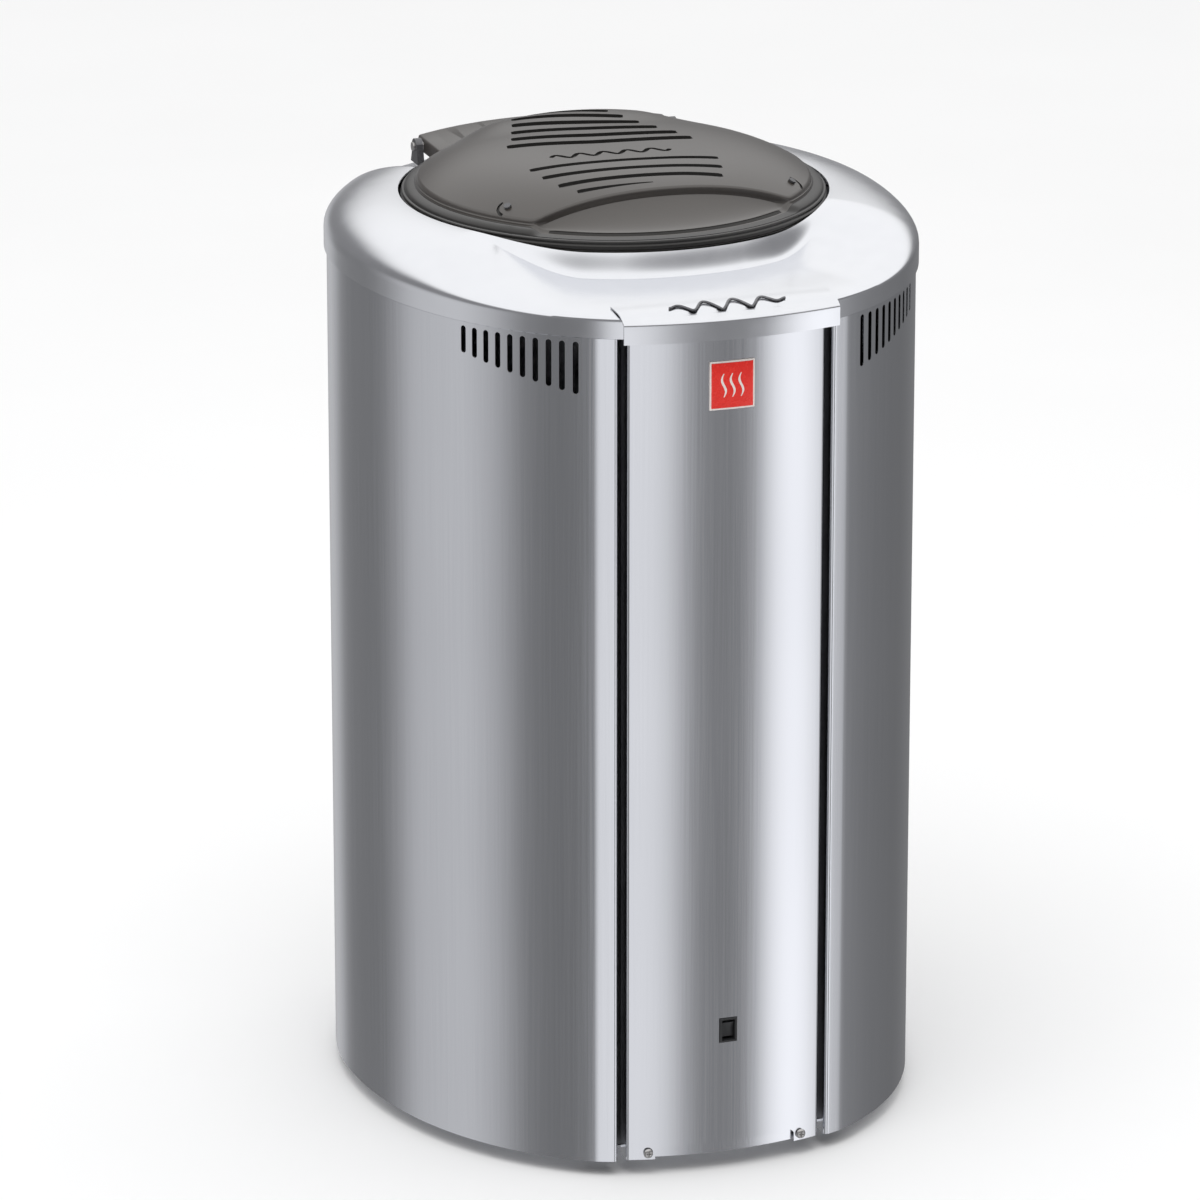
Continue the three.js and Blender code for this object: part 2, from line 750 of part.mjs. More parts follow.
function terminalBlock() {
  let block = box(10, 66, -205, -175, 17, 37);
  const screws = [];
  for (let i = 0; i < 5; i += 1) {
    screws.push(post(3, 17 + 10.5 * i, -190, 32, 40, 10));
  }
  block = cut(block, ...screws);
  return block;
}

function contactor() {
  const body = box(12, 64, -165, -110, 16.5, 60);
  return cut(body, box(5, 22, -150, -125, 45, 70), box(54, 70, -150, -125, 45, 70));
}

function controlBoard() {
  return join(
    box(-68, -5, -208, -165, 20, 21.6),
    box(-60, -46, -200, -186, 21, 36),
    box(-36, -14, -200, -180, 21, 33),
  );
}

function overheatLimiter() {
  const body = join(
    post(12, RESET_X, RESET_Y + 20, 16.5, 40, 20),
    post(4.5, RESET_X, RESET_Y, 21, 27, 12),
    box(RESET_X - 4, RESET_X + 4, RESET_Y, RESET_Y + 22, 21, 27),
  );
  return cut(body, post(2.6, RESET_X, RESET_Y, 10, 25, 12));
}

function resetButton() {
  return join(post(2, RESET_X, RESET_Y, -1, 22, 12), post(4.2, RESET_X, RESET_Y, -3, 6, 16));
}

function cableGland() {
  const body = stud(10.5, 55, 60, REAR_FLAT - 14, REAR_FLAT + 1.8, 16);
  const flange = stud(14, 55, 60, REAR_FLAT - SHEET - 4, REAR_FLAT - SHEET - GAP, 6);
  return cut(join(body, flange), stud(6, 55, 60, REAR_FLAT - 20, REAR_FLAT + 6, 16));
}

function temperatureSensor() {
  const tube = post(3, 0, LID_Y - 112, 190, 420, 12);
  return join(tube, post(6, 0, LID_Y - 112, 188, 200, 6));
}

// ---- hinge and lid switch ----------------------------------------------------
function lugShape(radius, footY0, footY1, footZ) {
  const shape = new THREE.Shape();
  shape.moveTo(footY0, footZ);
  shape.lineTo(footY1, footZ);
  const start = Math.atan2(footZ - HINGE_Z, footY1 - HINGE_Y) + 0.5;
  shape.absarc(HINGE_Y, HINGE_Z, radius, start, Math.PI - start - 0.9, false);
  return shape;
}

// extrudes a Y-Z outline along X
function alongX(shape, x0, x1, segments = 6) {
  const geometry = new THREE.ExtrudeGeometry(shape, {
    depth: x1 - x0, bevelEnabled: false, curveSegments: segments,
  });
  const turn = new THREE.Matrix4().set(
    0, 0, 1, x0,
    1, 0, 0, 0,
    0, 1, 0, 0,
    0, 0, 0, 1,
  );
  return geometry.applyMatrix4(turn);
}

function hingeBracket(side) {
  const x0 = side > 0 ? 113 : -119;
  const plate = alongX(lugShape(7, 210, 230, 751.5), x0, x0 + 6);
  return cut(plate, rod(PIN_RADIUS + GAP, HINGE_Y, HINGE_Z, x0 - 5, x0 + 11));
}

function hingePin() {
  return rod(PIN_RADIUS, HINGE_Y, HINGE_Z, -121, 121);
}

function lidHingeArm(side) {
  const x0 = side > 0 ? 94 : -100;
  const knuckle = rod(7, HINGE_Y, HINGE_Z, x0, x0 + 6, 20);
  const bar = box(x0, x0 + 6, 184, HINGE_Y - 5, RIM_TOP + GAP, 772);
  return cut(join(knuckle, bar), rod(PIN_RADIUS + 0.5, HINGE_Y, HINGE_Z, x0 - 5, x0 + 11));
}

function lidSwitch() {
  const body = box(SWITCH_X - 14, SWITCH_X + 14, SWITCH_Y - 8, SWITCH_Y + 8, 725, 748);
  return cut(body, post(3.4, SWITCH_X, SWITCH_Y, 735, 760, 12));
}

function lidSwitchPlunger() {
  return post(2.8, SWITCH_X, SWITCH_Y, 740, RIM_BOTTOM - 0.4, 12);
}

// ---- lid ---------------------------------------------------------------------
function domeZ(radius) {
  return DOME_EDGE_Z + DOME_RISE * (1 - (radius / DOME_EDGE_RADIUS) ** DOME_POWER);
}

function domeProfile(inset) {
  const profile = [[0, RIM_TOP + GAP]];
  profile.push([177 - inset, RIM_TOP + GAP]);
  profile.push([DOME_EDGE_RADIUS - inset, DOME_EDGE_Z - inset]);
  for (const radius of [160, 145, 125, 100, 70, 40]) {
    profile.push([radius, domeZ(radius) - inset]);
  }
  profile.push([0, domeZ(0) - inset]);
  return profile;
}

// front segment of the lid between a chord and an arc, used for the hand recess
function handRecess(margin) {
  const loops = [];
  const steps = 12;
  const back = HANDLE_CHORD_Y + margin;
  for (let i = 0; i <= steps; i += 1) {
    const x = mix(-HANDLE_HALF - margin, HANDLE_HALF + margin, i / steps);
    const shoulder = LID_Y - Math.sqrt(HANDLE_RADIUS ** 2 - x ** 2);
    const foot = domeZ(Math.hypot(x, back - LID_Y)) - HANDLE_WALL;
    const section = [[back, 900]];
    for (const t of [0, 0.2, 0.4, 0.6, 0.8, 1]) {
      section.push([mix(back, shoulder, t), mix(HANDLE_FLOOR_Z, foot, (1 - t) ** 1.7) - margin]);
    }
    section.push([-150, HANDLE_FLOOR_Z - margin], [-150, 900]);
    loops.push(section.map(([y, z]) => new THREE.Vector3(x, y, z)));
  }
  return loft(loops, false);
}

// hinge housing: arched across X, straight along Y
function humpPrism(half, inset, y0, y1, floorZ) {
  const shape = new THREE.Shape();
  shape.moveTo(-half, floorZ);
  const steps = 12;
  for (let i = 0; i <= steps; i += 1) {
    const x = mix(-half, half, i / steps);
    const across = Math.min(Math.abs(x) / HUMP_HALF, 1);
    shape.lineTo(x, HUMP_END_TOP - inset + HUMP_RISE * (1 - across ** 2.5));
  }
  shape.lineTo(half, floorZ);
  const geometry = new THREE.ExtrudeGeometry(shape, { depth: y1 - y0, bevelEnabled: false });
  return geometry.rotateX(Math.PI / 2).translate(0, y1, 0);
}

function lidCover() {
  const outer = toSolid(turned(domeProfile(0)));
  const inner = toSolid(turned(domeProfile(COVER_WALL)).translate(0, 0, -0.01));
  const humpSolid = toSolid(humpPrism(HUMP_HALF, 0, 174, HUMP_REAR, 760));
  const humpHollow = toSolid(humpPrism(HUMP_HALF + 5, 2, 176, HUMP_REAR - 2, 755));
  const recess = toSolid(handRecess(0));
  const tray = toSolid(handRecess(2.5)).intersect(outer);
  const skirt = toSolid(box(-HUMP_HALF, HUMP_HALF, 150, 176, 740, RIM_TOP + GAP));
  const hump = humpSolid.subtract(humpHollow).subtract(skirt);
  const cover = outer.subtract(inner).subtract(humpHollow).add(hump).add(tray).subtract(recess);
  return toGeometry(cover);
}

function lidRim() {
  const rim = turned(ringProfile(150, RIM_RADIUS, RIM_BOTTOM, RIM_TOP));
  return cut(rim, box(-103, 103, 208, 225, RIM_BOTTOM - 5, RIM_TOP + 5));
}

function lidInnerPan() {
  return turned([
    [0, 742], [134, 742], [139, 747], [139, 755.2], [154, 755.2], [154, 756.7],
    [137.5, 756.7], [137.5, 747.6], [133.4, 743.5], [0, 743.5],
  ]);
}

function lidInsulation() {
  return turned([[0, 744], [132, 744], [136, 748], [136, 765.7], [0, 765.7]], 36);
}

function lidGasket() {
  return turned(ringProfile(168, 176, SEAT_Z + GAP, RIM_BOTTOM - GAP));
}

// screw head square to the sloping cover
function lidScrew(side) {
  const x = side * LID_SCREW_X;
  const y = LID_SCREW_Y - LID_Y;
  const radius = Math.hypot(x, y);
  const steepness = (radius / DOME_EDGE_RADIUS) ** (DOME_POWER - 1);
  const slope = Math.atan((DOME_RISE * DOME_POWER * steepness) / DOME_EDGE_RADIUS);
  const head = post(3.2, 0, 0, 0.4, 2, 12);
  return head.rotateY(slope).rotateZ(Math.atan2(y, x)).translate(x, LID_SCREW_Y, domeZ(radius));
}

// ---- assembly ------------------------------------------------------------------
const heater = new THREE.Group();
const raised = new THREE.Group();
raised.position.z = FOOT_HEIGHT;
heater.add(raised);

function add(name, geometry, look) {
  const plain = geometry.index ? geometry : mergeVertices(bareCopy(geometry));
  const mesh = new THREE.Mesh(plain, look);
  mesh.name = name;
  raised.add(mesh);
}

add('base_plate', basePlate(), galvanised());
for (const [name, x, y] of [
  ['foot_front_left', -110, -165], ['foot_front_right', 110, -165],
  ['foot_rear_left', -130, 190], ['foot_rear_right', 130, 190],
]) {
  add(name, foot(x, y), blackRubber());
}

const rightCasing = sideCasing();
add('right_casing', rightCasing, brushed());
add('left_casing', mirrored(rightCasing), brushed());
add('rear_panel', rearPanel(), galvanised());
add('front_upright_right', frontUpright(), galvanised());
add('front_upright_left', mirrored(frontUpright()), galvanised());
add('front_panel', frontPanel(), brushed());
add('panel_screw_left', panelScrew(-1), darkSteel());
add('panel_screw_right', panelScrew(1), darkSteel());
add('badge_plate', badgePlate(), redEnamel());
add('switch_bezel', switchBezel(), blackPlastic());
add('power_rocker', powerRocker(), blackPlastic());

add('top_collar', topCollar(), polished());
add('front_visor', frontVisor(), polished());
add('visor_ornament', visorOrnament(), polished());
add('lid_seat_ring', lidSeatRing(), brushed());

add('stone_tank', stoneTank(), brushed());
add('tank_insulation', turned(ringProfile(TANK_RADIUS + 1, INSULATION_RADIUS, 228, 715), 48), wool());
add('tank_base_insulation', tankBaseInsulation(), wool());
add('heat_shield', heatShield(), galvanised());
add('element_plate', elementPlate(), galvanised());
for (let i = 0; i < ELEMENT_COUNT; i += 1) {
  add(`heating_element_${i + 1}`, heatingElement(i), darkSteel());
  add(`tank_leg_${i + 1}`, tankLeg(i), galvanised());
}
add('temperature_sensor', temperatureSensor(), brassMetal());

add('control_box', controlBox(), galvanised());
add('terminal_block', terminalBlock(), blackPlastic());
add('contactor', contactor(), blackPlastic());
add('control_board', controlBoard(), greenBoard());
add('overheat_limiter', overheatLimiter(), brassMetal());
add('reset_button', resetButton(), redEnamel());
add('cable_gland', cableGland(), blackPlastic());

add('hinge_bracket_left', hingeBracket(-1), darkSteel());
add('hinge_bracket_right', hingeBracket(1), darkSteel());
add('hinge_pin', hingePin(), brushed());
add('lid_switch', lidSwitch(), blackPlastic());
add('lid_switch_plunger', lidSwitchPlunger(), brassMetal());

add('lid_cover', lidCover(), brownPlastic());
add('lid_rim', lidRim(), blackPlastic());
add('lid_inner_pan', lidInnerPan(), brushed());
add('lid_insulation', lidInsulation(), wool());
add('lid_gasket', lidGasket(), blackRubber());
add('lid_hinge_arm_left', lidHingeArm(-1), darkSteel());
add('lid_hinge_arm_right', lidHingeArm(1), darkSteel());
add('lid_screw_left', lidScrew(-1), darkSteel());
add('lid_screw_right', lidScrew(1), darkSteel());

export default heater;
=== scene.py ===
"""Looks of a lidded electric sauna heater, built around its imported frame."""
import json
from math import asin, atan2, cos, exp, hypot, log1p, pi, radians, sin, sqrt

import bmesh
import bpy
import numpy as np
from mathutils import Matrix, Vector


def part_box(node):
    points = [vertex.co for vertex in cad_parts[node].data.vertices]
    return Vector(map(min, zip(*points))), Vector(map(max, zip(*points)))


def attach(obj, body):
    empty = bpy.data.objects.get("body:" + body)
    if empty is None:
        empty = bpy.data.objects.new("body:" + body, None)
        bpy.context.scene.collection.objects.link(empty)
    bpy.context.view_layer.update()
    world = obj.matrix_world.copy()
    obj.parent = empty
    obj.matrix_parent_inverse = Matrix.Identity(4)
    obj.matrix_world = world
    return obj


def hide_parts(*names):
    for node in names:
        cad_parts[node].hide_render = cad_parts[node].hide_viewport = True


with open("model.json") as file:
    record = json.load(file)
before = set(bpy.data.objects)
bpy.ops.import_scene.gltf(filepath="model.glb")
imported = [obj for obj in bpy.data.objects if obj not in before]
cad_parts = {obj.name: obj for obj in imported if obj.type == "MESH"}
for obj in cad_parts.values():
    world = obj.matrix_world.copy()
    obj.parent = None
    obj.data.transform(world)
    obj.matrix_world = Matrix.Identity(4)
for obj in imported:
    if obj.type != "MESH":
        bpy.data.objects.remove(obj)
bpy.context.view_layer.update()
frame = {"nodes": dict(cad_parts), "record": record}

# Shapes are worked out in millimetres, with heights from the casing's lower edge.
MM = 0.001
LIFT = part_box("left_casing")[0].z
SHEET = 1.2
# upright axis of the lid, its seat and the tank
LID_Y = 39.0

# front panel: its face, a bend at each side and the two screws at its foot
PANEL_FACE_Y = -255.0
PANEL_RADIUS = 291.0
PANEL_CENTRE_Y = PANEL_FACE_Y + PANEL_RADIUS
PANEL_HALF = 86.0
BEND_RADIUS = 3.0
SCREW_X = 68.0
SCREW_Z = 7.0

# plan outline of the casing: a superellipse, deeper in front of its centre than behind it
PLAN_POWER = 2.07
PLAN_Y = 30.0
PLAN_HALF_WIDTH = 243.0
PLAN_FRONT = 293.5
PLAN_REAR = 254.0


def smooth(low, high, value):
    t = np.clip((np.asarray(value, float) - low) / (high - low), 0, 1)
    return t * t * (3 - 2 * t)


def mix(a, b, t):
    return a + (b - a) * t


# ---- materials ----
def add_node(tree, kind, inputs=None, **properties):
    """A node with its properties set, and each input given a value or linked to a socket."""
    node = tree.nodes.new(kind)
    for key, value in properties.items():
        setattr(node, key, value)
    for key, value in (inputs or {}).items():
        if isinstance(value, bpy.types.NodeSocket):
            tree.links.new(value, node.inputs[key])
        else:
            node.inputs[key].default_value = value
    return node


def add_math(tree, operation, first, second):
    return add_node(tree, "ShaderNodeMath", {0: first, 1: second}, operation=operation).outputs[0]


def add_ramp(tree, factor, stops):
    """Colour ramp through (position, colour) stops."""
    node = add_node(tree, "ShaderNodeValToRGB", {"Fac": factor})
    band = node.color_ramp
    while len(band.elements) < len(stops):
        band.elements.new(0.5)
    for element, (position, color) in zip(band.elements, stops):
        element.position = position
        element.color = (*color, 1)
    return node.outputs[0]


class Shade:
    """A node material on one Principled shader, with short ways to add nodes."""

    def __init__(self, name, **constants):
        self.material = bpy.data.materials.new(name)
        self.material.use_nodes = True
        self.tree = self.material.node_tree
        self.shader = self.tree.nodes["Principled BSDF"]
        for socket, value in constants.items():
            self.shader.inputs[socket.replace("_", " ")].default_value = value
        self.place = self.add("ShaderNodeTexCoord").outputs["Object"]

    def add(self, kind, inputs=None, **properties):
        return add_node(self.tree, kind, inputs, **properties)

    def noise(self, scale, detail=3.0, roughness=0.55):
        """Noise over the object, scale in features per metre along each axis."""
        mapping = self.add("ShaderNodeMapping", {"Vector": self.place, "Scale": scale})
        node = self.add("ShaderNodeTexNoise", {
            "Vector": mapping.outputs[0], "Scale": 1.0, "Detail": detail, "Roughness": roughness})
        return node.outputs[0]

    def ramp(self, factor, stops):
        return add_ramp(self.tree, factor, stops)

    def span(self, factor, low, high, source=(0.3, 0.7)):
        node = self.add("ShaderNodeMapRange", {
            "Value": factor, "From Min": source[0], "From Max": source[1],
            "To Min": low, "To Max": high})
        return node.outputs[0]

    def into(self, socket, output):
        self.tree.links.new(output, self.shader.inputs[socket])

    def bump(self, height, strength, distance):
        node = self.add("ShaderNodeBump", {
            "Height": height, "Strength": strength, "Distance": distance})
        self.into("Normal", node.outputs[0])


def surface(name, dark, light, rough, grain, bump, patch=9.0, detail=4.0, tangent=False,
            **constants):
    """Material with patchy colour, and grain in its roughness and relief.

    rough is a span of roughness, bump a strength and a depth in metres, and grain and patch
    are features per metre."""
    shade = Shade(name, **constants)
    patches = shade.noise((patch,) * 3, 2.0)
    fine = shade.noise(grain, detail)
    both = add_math(shade.tree, "ADD", patches, fine)
    half = add_math(shade.tree, "MULTIPLY", both, 0.5)
    shade.into("Base Color", shade.ramp(half, [(0.38, dark), (0.62, light)]))
    shade.into("Roughness", shade.span(fine, *rough))
    shade.bump(fine, *bump)
    if tangent:
        node = shade.add("ShaderNodeTangent", direction_type="RADIAL", axis="Z")
        shade.into("Tangent", node.outputs[0])
    return shade.material


BRUSHED = (950.0, 950.0, 5.0)
# by slot: dark colour, light colour, rough, grain, bump and other settings of surface()
SURFACES = {
    "casing_steel": (
        (0.68, 0.69, 0.72), (0.73, 0.74, 0.77), (0.15, 0.20), BRUSHED, (0.025, 0.0001),
        {"patch": 2.5, "tangent": True, "Metallic": 1.0, "Anisotropic": 0.5}),
    "collar_steel": (
        (0.77, 0.78, 0.81), (0.79, 0.80, 0.83), (0.21, 0.23), (60.0,) * 3, (0.003, 0.0001),
        {"patch": 3.0, "detail": 1.0, "Metallic": 1.0}),
    "ornament_chrome": (
        (0.13, 0.13, 0.14), (0.22, 0.22, 0.23), (0.16, 0.24), (300.0,) * 3, (0.03, 0.0001),
        {"Metallic": 1.0}),
    "tank_steel": (
        (0.48, 0.47, 0.46), (0.62, 0.61, 0.60), (0.28, 0.42), (420.0, 420.0, 9.0),
        (0.08, 0.0001), {"patch": 12.0, "Metallic": 1.0}),
    "dark_fastener": (
        (0.13, 0.13, 0.135), (0.22, 0.22, 0.23), (0.34, 0.5), (900.0,) * 3, (0.15, 0.0001),
        {"Metallic": 0.9}),
    "element_sheath": (
        (0.10, 0.085, 0.075), (0.25, 0.21, 0.18), (0.4, 0.62), (160.0, 160.0, 40.0),
        (0.2, 0.0001), {"patch": 18.0, "Metallic": 0.85}),
    "black_rubber": (
        (0.012,) * 3, (0.03,) * 3, (0.62, 0.85), (1400.0,) * 3, (0.3, 0.00015), {}),
    "black_plastic": (
        (0.012, 0.012, 0.013), (0.026, 0.027, 0.029), (0.36, 0.5), (1800.0,) * 3,
        (0.2, 0.0001), {}),
    "lid_plastic": (
        (0.033, 0.027, 0.023), (0.046, 0.039, 0.033), (0.28, 0.36), (1500.0,) * 3,
        (0.10, 0.0001), {"patch": 6.0, "IOR": 1.8}),
    "rim_plastic": (
        (0.012, 0.011, 0.010), (0.024, 0.022, 0.020), (0.30, 0.42), (1300.0,) * 3,
        (0.18, 0.0001), {}),
    "brass": (
        (0.58, 0.42, 0.18), (0.76, 0.60, 0.30), (0.24, 0.4), (350.0,) * 3, (0.08, 0.0001),
        {"Metallic": 1.0}),
    "board_green": (
        (0.015, 0.10, 0.04), (0.04, 0.20, 0.09), (0.25, 0.4), (320.0, 320.0, 8.0),
        (0.15, 0.0001), {"patch": 90.0}),
    "button_red": (
        (0.45, 0.02, 0.015), (0.64, 0.04, 0.03), (0.28, 0.4), (900.0,) * 3, (0.1, 0.0001), {}),
    "badge_enamel": (
        (0.80, 0.020, 0.012), (0.86, 0.027, 0.016), (0.24, 0.30), (200.0,) * 3,
        (0.01, 0.0001), {"patch": 3.0, "Coat_Weight": 0.3}),
    "badge_print": (
        (0.80, 0.74, 0.70), (0.92, 0.86, 0.82), (0.3, 0.42), (700.0,) * 3, (0.05, 0.0001), {}),
    # near-black for the faces cut into the lid; in the two lines along the recess it is painted
    # shade
    "groove_black": (
        (0.008, 0.007, 0.006), (0.020, 0.018, 0.016), (0.5, 0.68), (1300.0,) * 3,
        (0.15, 0.0001), {}),
}


def galvanised():
    """Zinc-coated sheet: crystals of slightly different grey."""
    shade = Shade("galvanised_sheet", Metallic=1.0)
    mapping = shade.add("ShaderNodeMapping", {"Vector": shade.place, "Scale": (110.0,) * 3})
    cells = shade.add("ShaderNodeTexVoronoi", {"Vector": mapping.outputs[0], "Scale": 1.0})
    split = shade.add("ShaderNodeSeparateColor", {0: cells.outputs["Color"]})
    shade.into("Base Color", shade.ramp(split.outputs[0], [
        (0.0, (0.46, 0.48, 0.50)), (0.5, (0.56, 0.58, 0.60)), (1.0, (0.66, 0.68, 0.70))]))
    shade.into("Roughness", shade.span(split.outputs[1], 0.34, 0.52, (0.0, 1.0)))
    shade.bump(shade.noise((600.0,) * 3), 0.08, 0.0001)
    return shade.material


def mineral_wool():
    """Pressed wool: crossed fibres over a soft patchy ground."""
    shade = Shade("mineral_wool", Sheen_Weight=0.2)
    long_fibres = shade.noise((900.0, 60.0, 500.0), 5.0, 0.7)
    cross_fibres = shade.noise((60.0, 900.0, 500.0), 5.0, 0.7)
    top = add_math(shade.tree, "MAXIMUM", long_fibres, cross_fibres)
    shade.into("Base Color", shade.ramp(top, [
        (0.40, (0.38, 0.31, 0.16)), (0.68, (0.70, 0.60, 0.38))]))
    shade.into("Roughness", shade.span(top, 0.85, 1.0))
    shade.bump(top, 0.6, 0.0008)
    return shade.material


MATERIALS = {name: surface(name, *row, **settings)
             for name, (*row, settings) in SURFACES.items()}
MATERIALS["galvanised_sheet"] = galvanised()
MATERIALS["mineral_wool"] = mineral_wool()


# ---- mesh helpers ----
def put(name, data):
    """New object in the scene."""
    made = bpy.data.objects.new(name, data)
    bpy.context.scene.collection.objects.link(made)
    return made


def raw_object(name, points, faces, material):
    """Object of points in millimetres, with shared corners merged and normals outwards."""
    mesh = bpy.data.meshes.new(name)
    scaled = np.asarray(points, float) * MM + np.array([0, 0, LIFT])
    mesh.from_pydata(scaled.tolist(), [], [tuple(face) for face in faces])
    tidy = bmesh.new()
    tidy.from_mesh(mesh)
    bmesh.ops.remove_doubles(tidy, verts=tidy.verts, dist=1e-7)
    bmesh.ops.recalc_face_normals(tidy, faces=tidy.faces)
    tidy.to_mesh(mesh)
    tidy.free()
    mesh.materials.append(MATERIALS[material])
    return put(name, mesh)


def loft_data(loops, ring=False):
    """Points and faces joining equal closed loops, with end caps or, in a ring, without."""
    count = len(loops[0])
    points = np.concatenate([np.asarray(loop, float) for loop in loops])
    faces = []
    spans = len(loops) if ring else len(loops) - 1
    for i in range(spans):
        here, after = i * count, ((i + 1) % len(loops)) * count
        for j in range(count):
            k = (j + 1) % count
            faces.append((here + j, after + j, after + k, here + k))
    if not ring:
        faces.append(tuple(range(count)))
        faces.append(tuple(range((len(loops) - 1) * count, len(loops) * count))[::-1])
    return points, faces


def ring_faces(rows, closed=False):
    """Faces between rings of point numbers; a ring on the axis repeats one number."""
    faces = []
    for low, high in zip(rows, rows[1:] + (rows[:1] if closed else [])):
        for j in range(len(low)):
            k = (j + 1) % len(low)
            kept = list(dict.fromkeys([low[j], low[k], high[k], high[j]]))
            if len(kept) > 2:
                faces.append(tuple(kept))
    return faces


def lathe_data(profile, sides=160, centre=(0.0, LID_Y)):
    """Closed body turned about an upright axis. The profile is (radius, height) pairs."""
    points, rows = [], []
    for radius, z in profile:
        if radius < 1e-6:
            rows.append([len(points)] * sides)
            points.append((centre[0], centre[1], z))
            continue
        rows.append(list(range(len(points), len(points) + sides)))
        for i in range(sides):
            angle = 2 * pi * i / sides
            points.append((centre[0] + radius * cos(angle), centre[1] + radius * sin(angle), z))
    return np.array(points), ring_faces(rows, profile[0][0] > 1e-6)


def through_hole(x, y, radius, z0, z1, sides):
    """Upright round cutter."""
    return lathe_data([(0, z0), (radius, z0), (radius, z1), (0, z1)], sides, (x, y))


def disc_data(x, z, radius, y0, y1, sides=32):
    """Round cutter along Y."""
    loops = []
    for y in (y0, y1):
        loops.append([(x + radius * cos(2 * pi * k / sides), y,
                       z + radius * sin(2 * pi * k / sides)) for k in range(sides)])
    return loft_data(loops)


def box_data(x0, x1, y0, y1, z0, z1):
    points = [(x, y, z) for z in (z0, z1) for x, y in ((x0, y0), (x1, y0), (x1, y1), (x0, y1))]
    faces = [(3, 2, 1, 0), (4, 5, 6, 7), (0, 1, 5, 4), (1, 2, 6, 5), (2, 3, 7, 6), (3, 0, 4, 7)]
    return np.array(points, float), faces


def merge_data(pieces):
    points, faces, offset = [], [], 0
    for some, polygons in pieces:
        points.append(np.asarray(some, float))
        faces += [tuple(i + offset for i in face) for face in polygons]
        offset += len(some)
    return np.concatenate(points), faces


def apply_modifiers(target):
    graph = bpy.context.evaluated_depsgraph_get()
    result = bpy.data.meshes.new_from_object(target.evaluated_get(graph))
    target.modifiers.clear()
    old = target.data
    target.data = result
    bpy.data.meshes.remove(old)


def combine(target, data, operation, material):
    """Cuts the closed bodies in data from target, or joins them to it."""
    other = raw_object("tool", *data, material)
    modifier = target.modifiers.new("combine", "BOOLEAN")
    modifier.operation = operation
    modifier.solver = "EXACT"
    modifier.object = other
    modifier.material_mode = "TRANSFER"
    apply_modifiers(target)
    spare = other.data
    bpy.data.objects.remove(other)
    bpy.data.meshes.remove(spare)


def bevel_modifier(target, width, segments, angle):
    modifier = target.modifiers.new("edges", "BEVEL")
    modifier.width = width * MM
    modifier.segments = segments
    modifier.limit_method = "ANGLE"
    modifier.angle_limit = radians(angle)
    return modifier


def bevelled(target, width, segments=3, angle=35):
    """Rounds the sharp edges, and applies it."""
    bevel_modifier(target, width, segments, angle).use_clamp_overlap = True
    apply_modifiers(target)


def shade_by_angle(target, angle=32):
    target.data.shade_smooth()
    target.data.set_sharp_from_angle(angle=radians(angle))


def millimetres(points):
    return (points - np.array([0, 0, LIFT])) / MM


def read(items, attribute, width=3, kind=np.float32):
    """One attribute of every item, as rows of the given width."""
    values = np.zeros(len(items) * width, kind)
    items.foreach_get(attribute, values)
    return values.reshape(-1, width) if width > 1 else values


def exact_normals(target, normal_at, closeness=0.93):
    """Gives faces that lie on a known surface that surface's own normals.

    normal_at takes points in millimetres and returns unit normals of either sign."""
    mesh = target.data
    corner = read(mesh.corner_normals, "vector")
    vertex = read(mesh.loops, "vertex_index", 1, np.int32)
    polygons = len(mesh.polygons)
    owner = np.repeat(np.arange(polygons), read(mesh.polygons, "loop_total", 1, np.int32))
    wanted = normal_at(millimetres(read(mesh.vertices, "co"))[vertex])
    agreement = np.einsum("ij,ij->i", wanted, read(mesh.polygons, "normal")[owner])
    worst = np.full(polygons, 2.0)
    np.minimum.at(worst, owner, np.abs(agreement))
    use = worst[owner] > closeness
    corner[use] = (wanted * np.sign(agreement)[:, None])[use]
    mesh.normals_split_custom_set(corner.tolist())


def finish_piece(target, body, slot, *nodes):
    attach(target, body)
    if nodes:
        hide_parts(*nodes)


def make_piece(name, data, body, slot, *nodes, cuts=(), bevel=None, crease=32, normals=None,
               material=None):
    """Whole visible piece: solid, cuts, rounded edges, shading, then its place in the frame."""
    piece = raw_object(name, *data, material or slot)
    for cutter in cuts:
        combine(piece, cutter, "DIFFERENCE", material or slot)
    if bevel:
        bevelled(piece, *bevel)
    shade_by_angle(piece, crease)
    if normals:
        exact_normals(piece, normals)
    finish_piece(piece, body, slot, *nodes)
    return piece


# ---- plan outline ----
def outline(angle, grow=0.0):
    """Point of the plan outline at an angle from the front towards +X."""
    sine, cosine = sin(angle), -cos(angle)
    depth = (PLAN_FRONT if cosine < 0 else PLAN_REAR) + grow
    across, along = abs(sine / (PLAN_HALF_WIDTH + grow)), abs(cosine / depth)
    radius = (across ** PLAN_POWER + along ** PLAN_POWER) ** (-1 / PLAN_POWER)
    return np.array([radius * sine, PLAN_Y + radius * cosine])


def solve(test, low, high):
    """Angle at which test turns from true to false."""
    for _ in range(50):
        middle = (low + high) / 2
        if test(middle):
            low = middle
        else:
            high = middle
    return (low + high) / 2


def dense(path, step):
    """Extra points along straight stretches longer than step."""
    points = [path[0]]
    for before, after in zip(path, path[1:]):
        count = max(1, int(np.linalg.norm(after - before) // step))
        for i in range(1, count + 1):
            points.append(before + (after - before) * i / count)
    return np.array(points)


def left_normals(path):
    """Left-hand unit normals of an open path."""
    ahead = np.vstack([path[1:], path[-1:]]) - np.vstack([path[:1], path[:-1]])
    tangent = ahead / np.linalg.norm(ahead, axis=1)[:, None]
    return np.stack([-tangent[:, 1], tangent[:, 0]], 1)


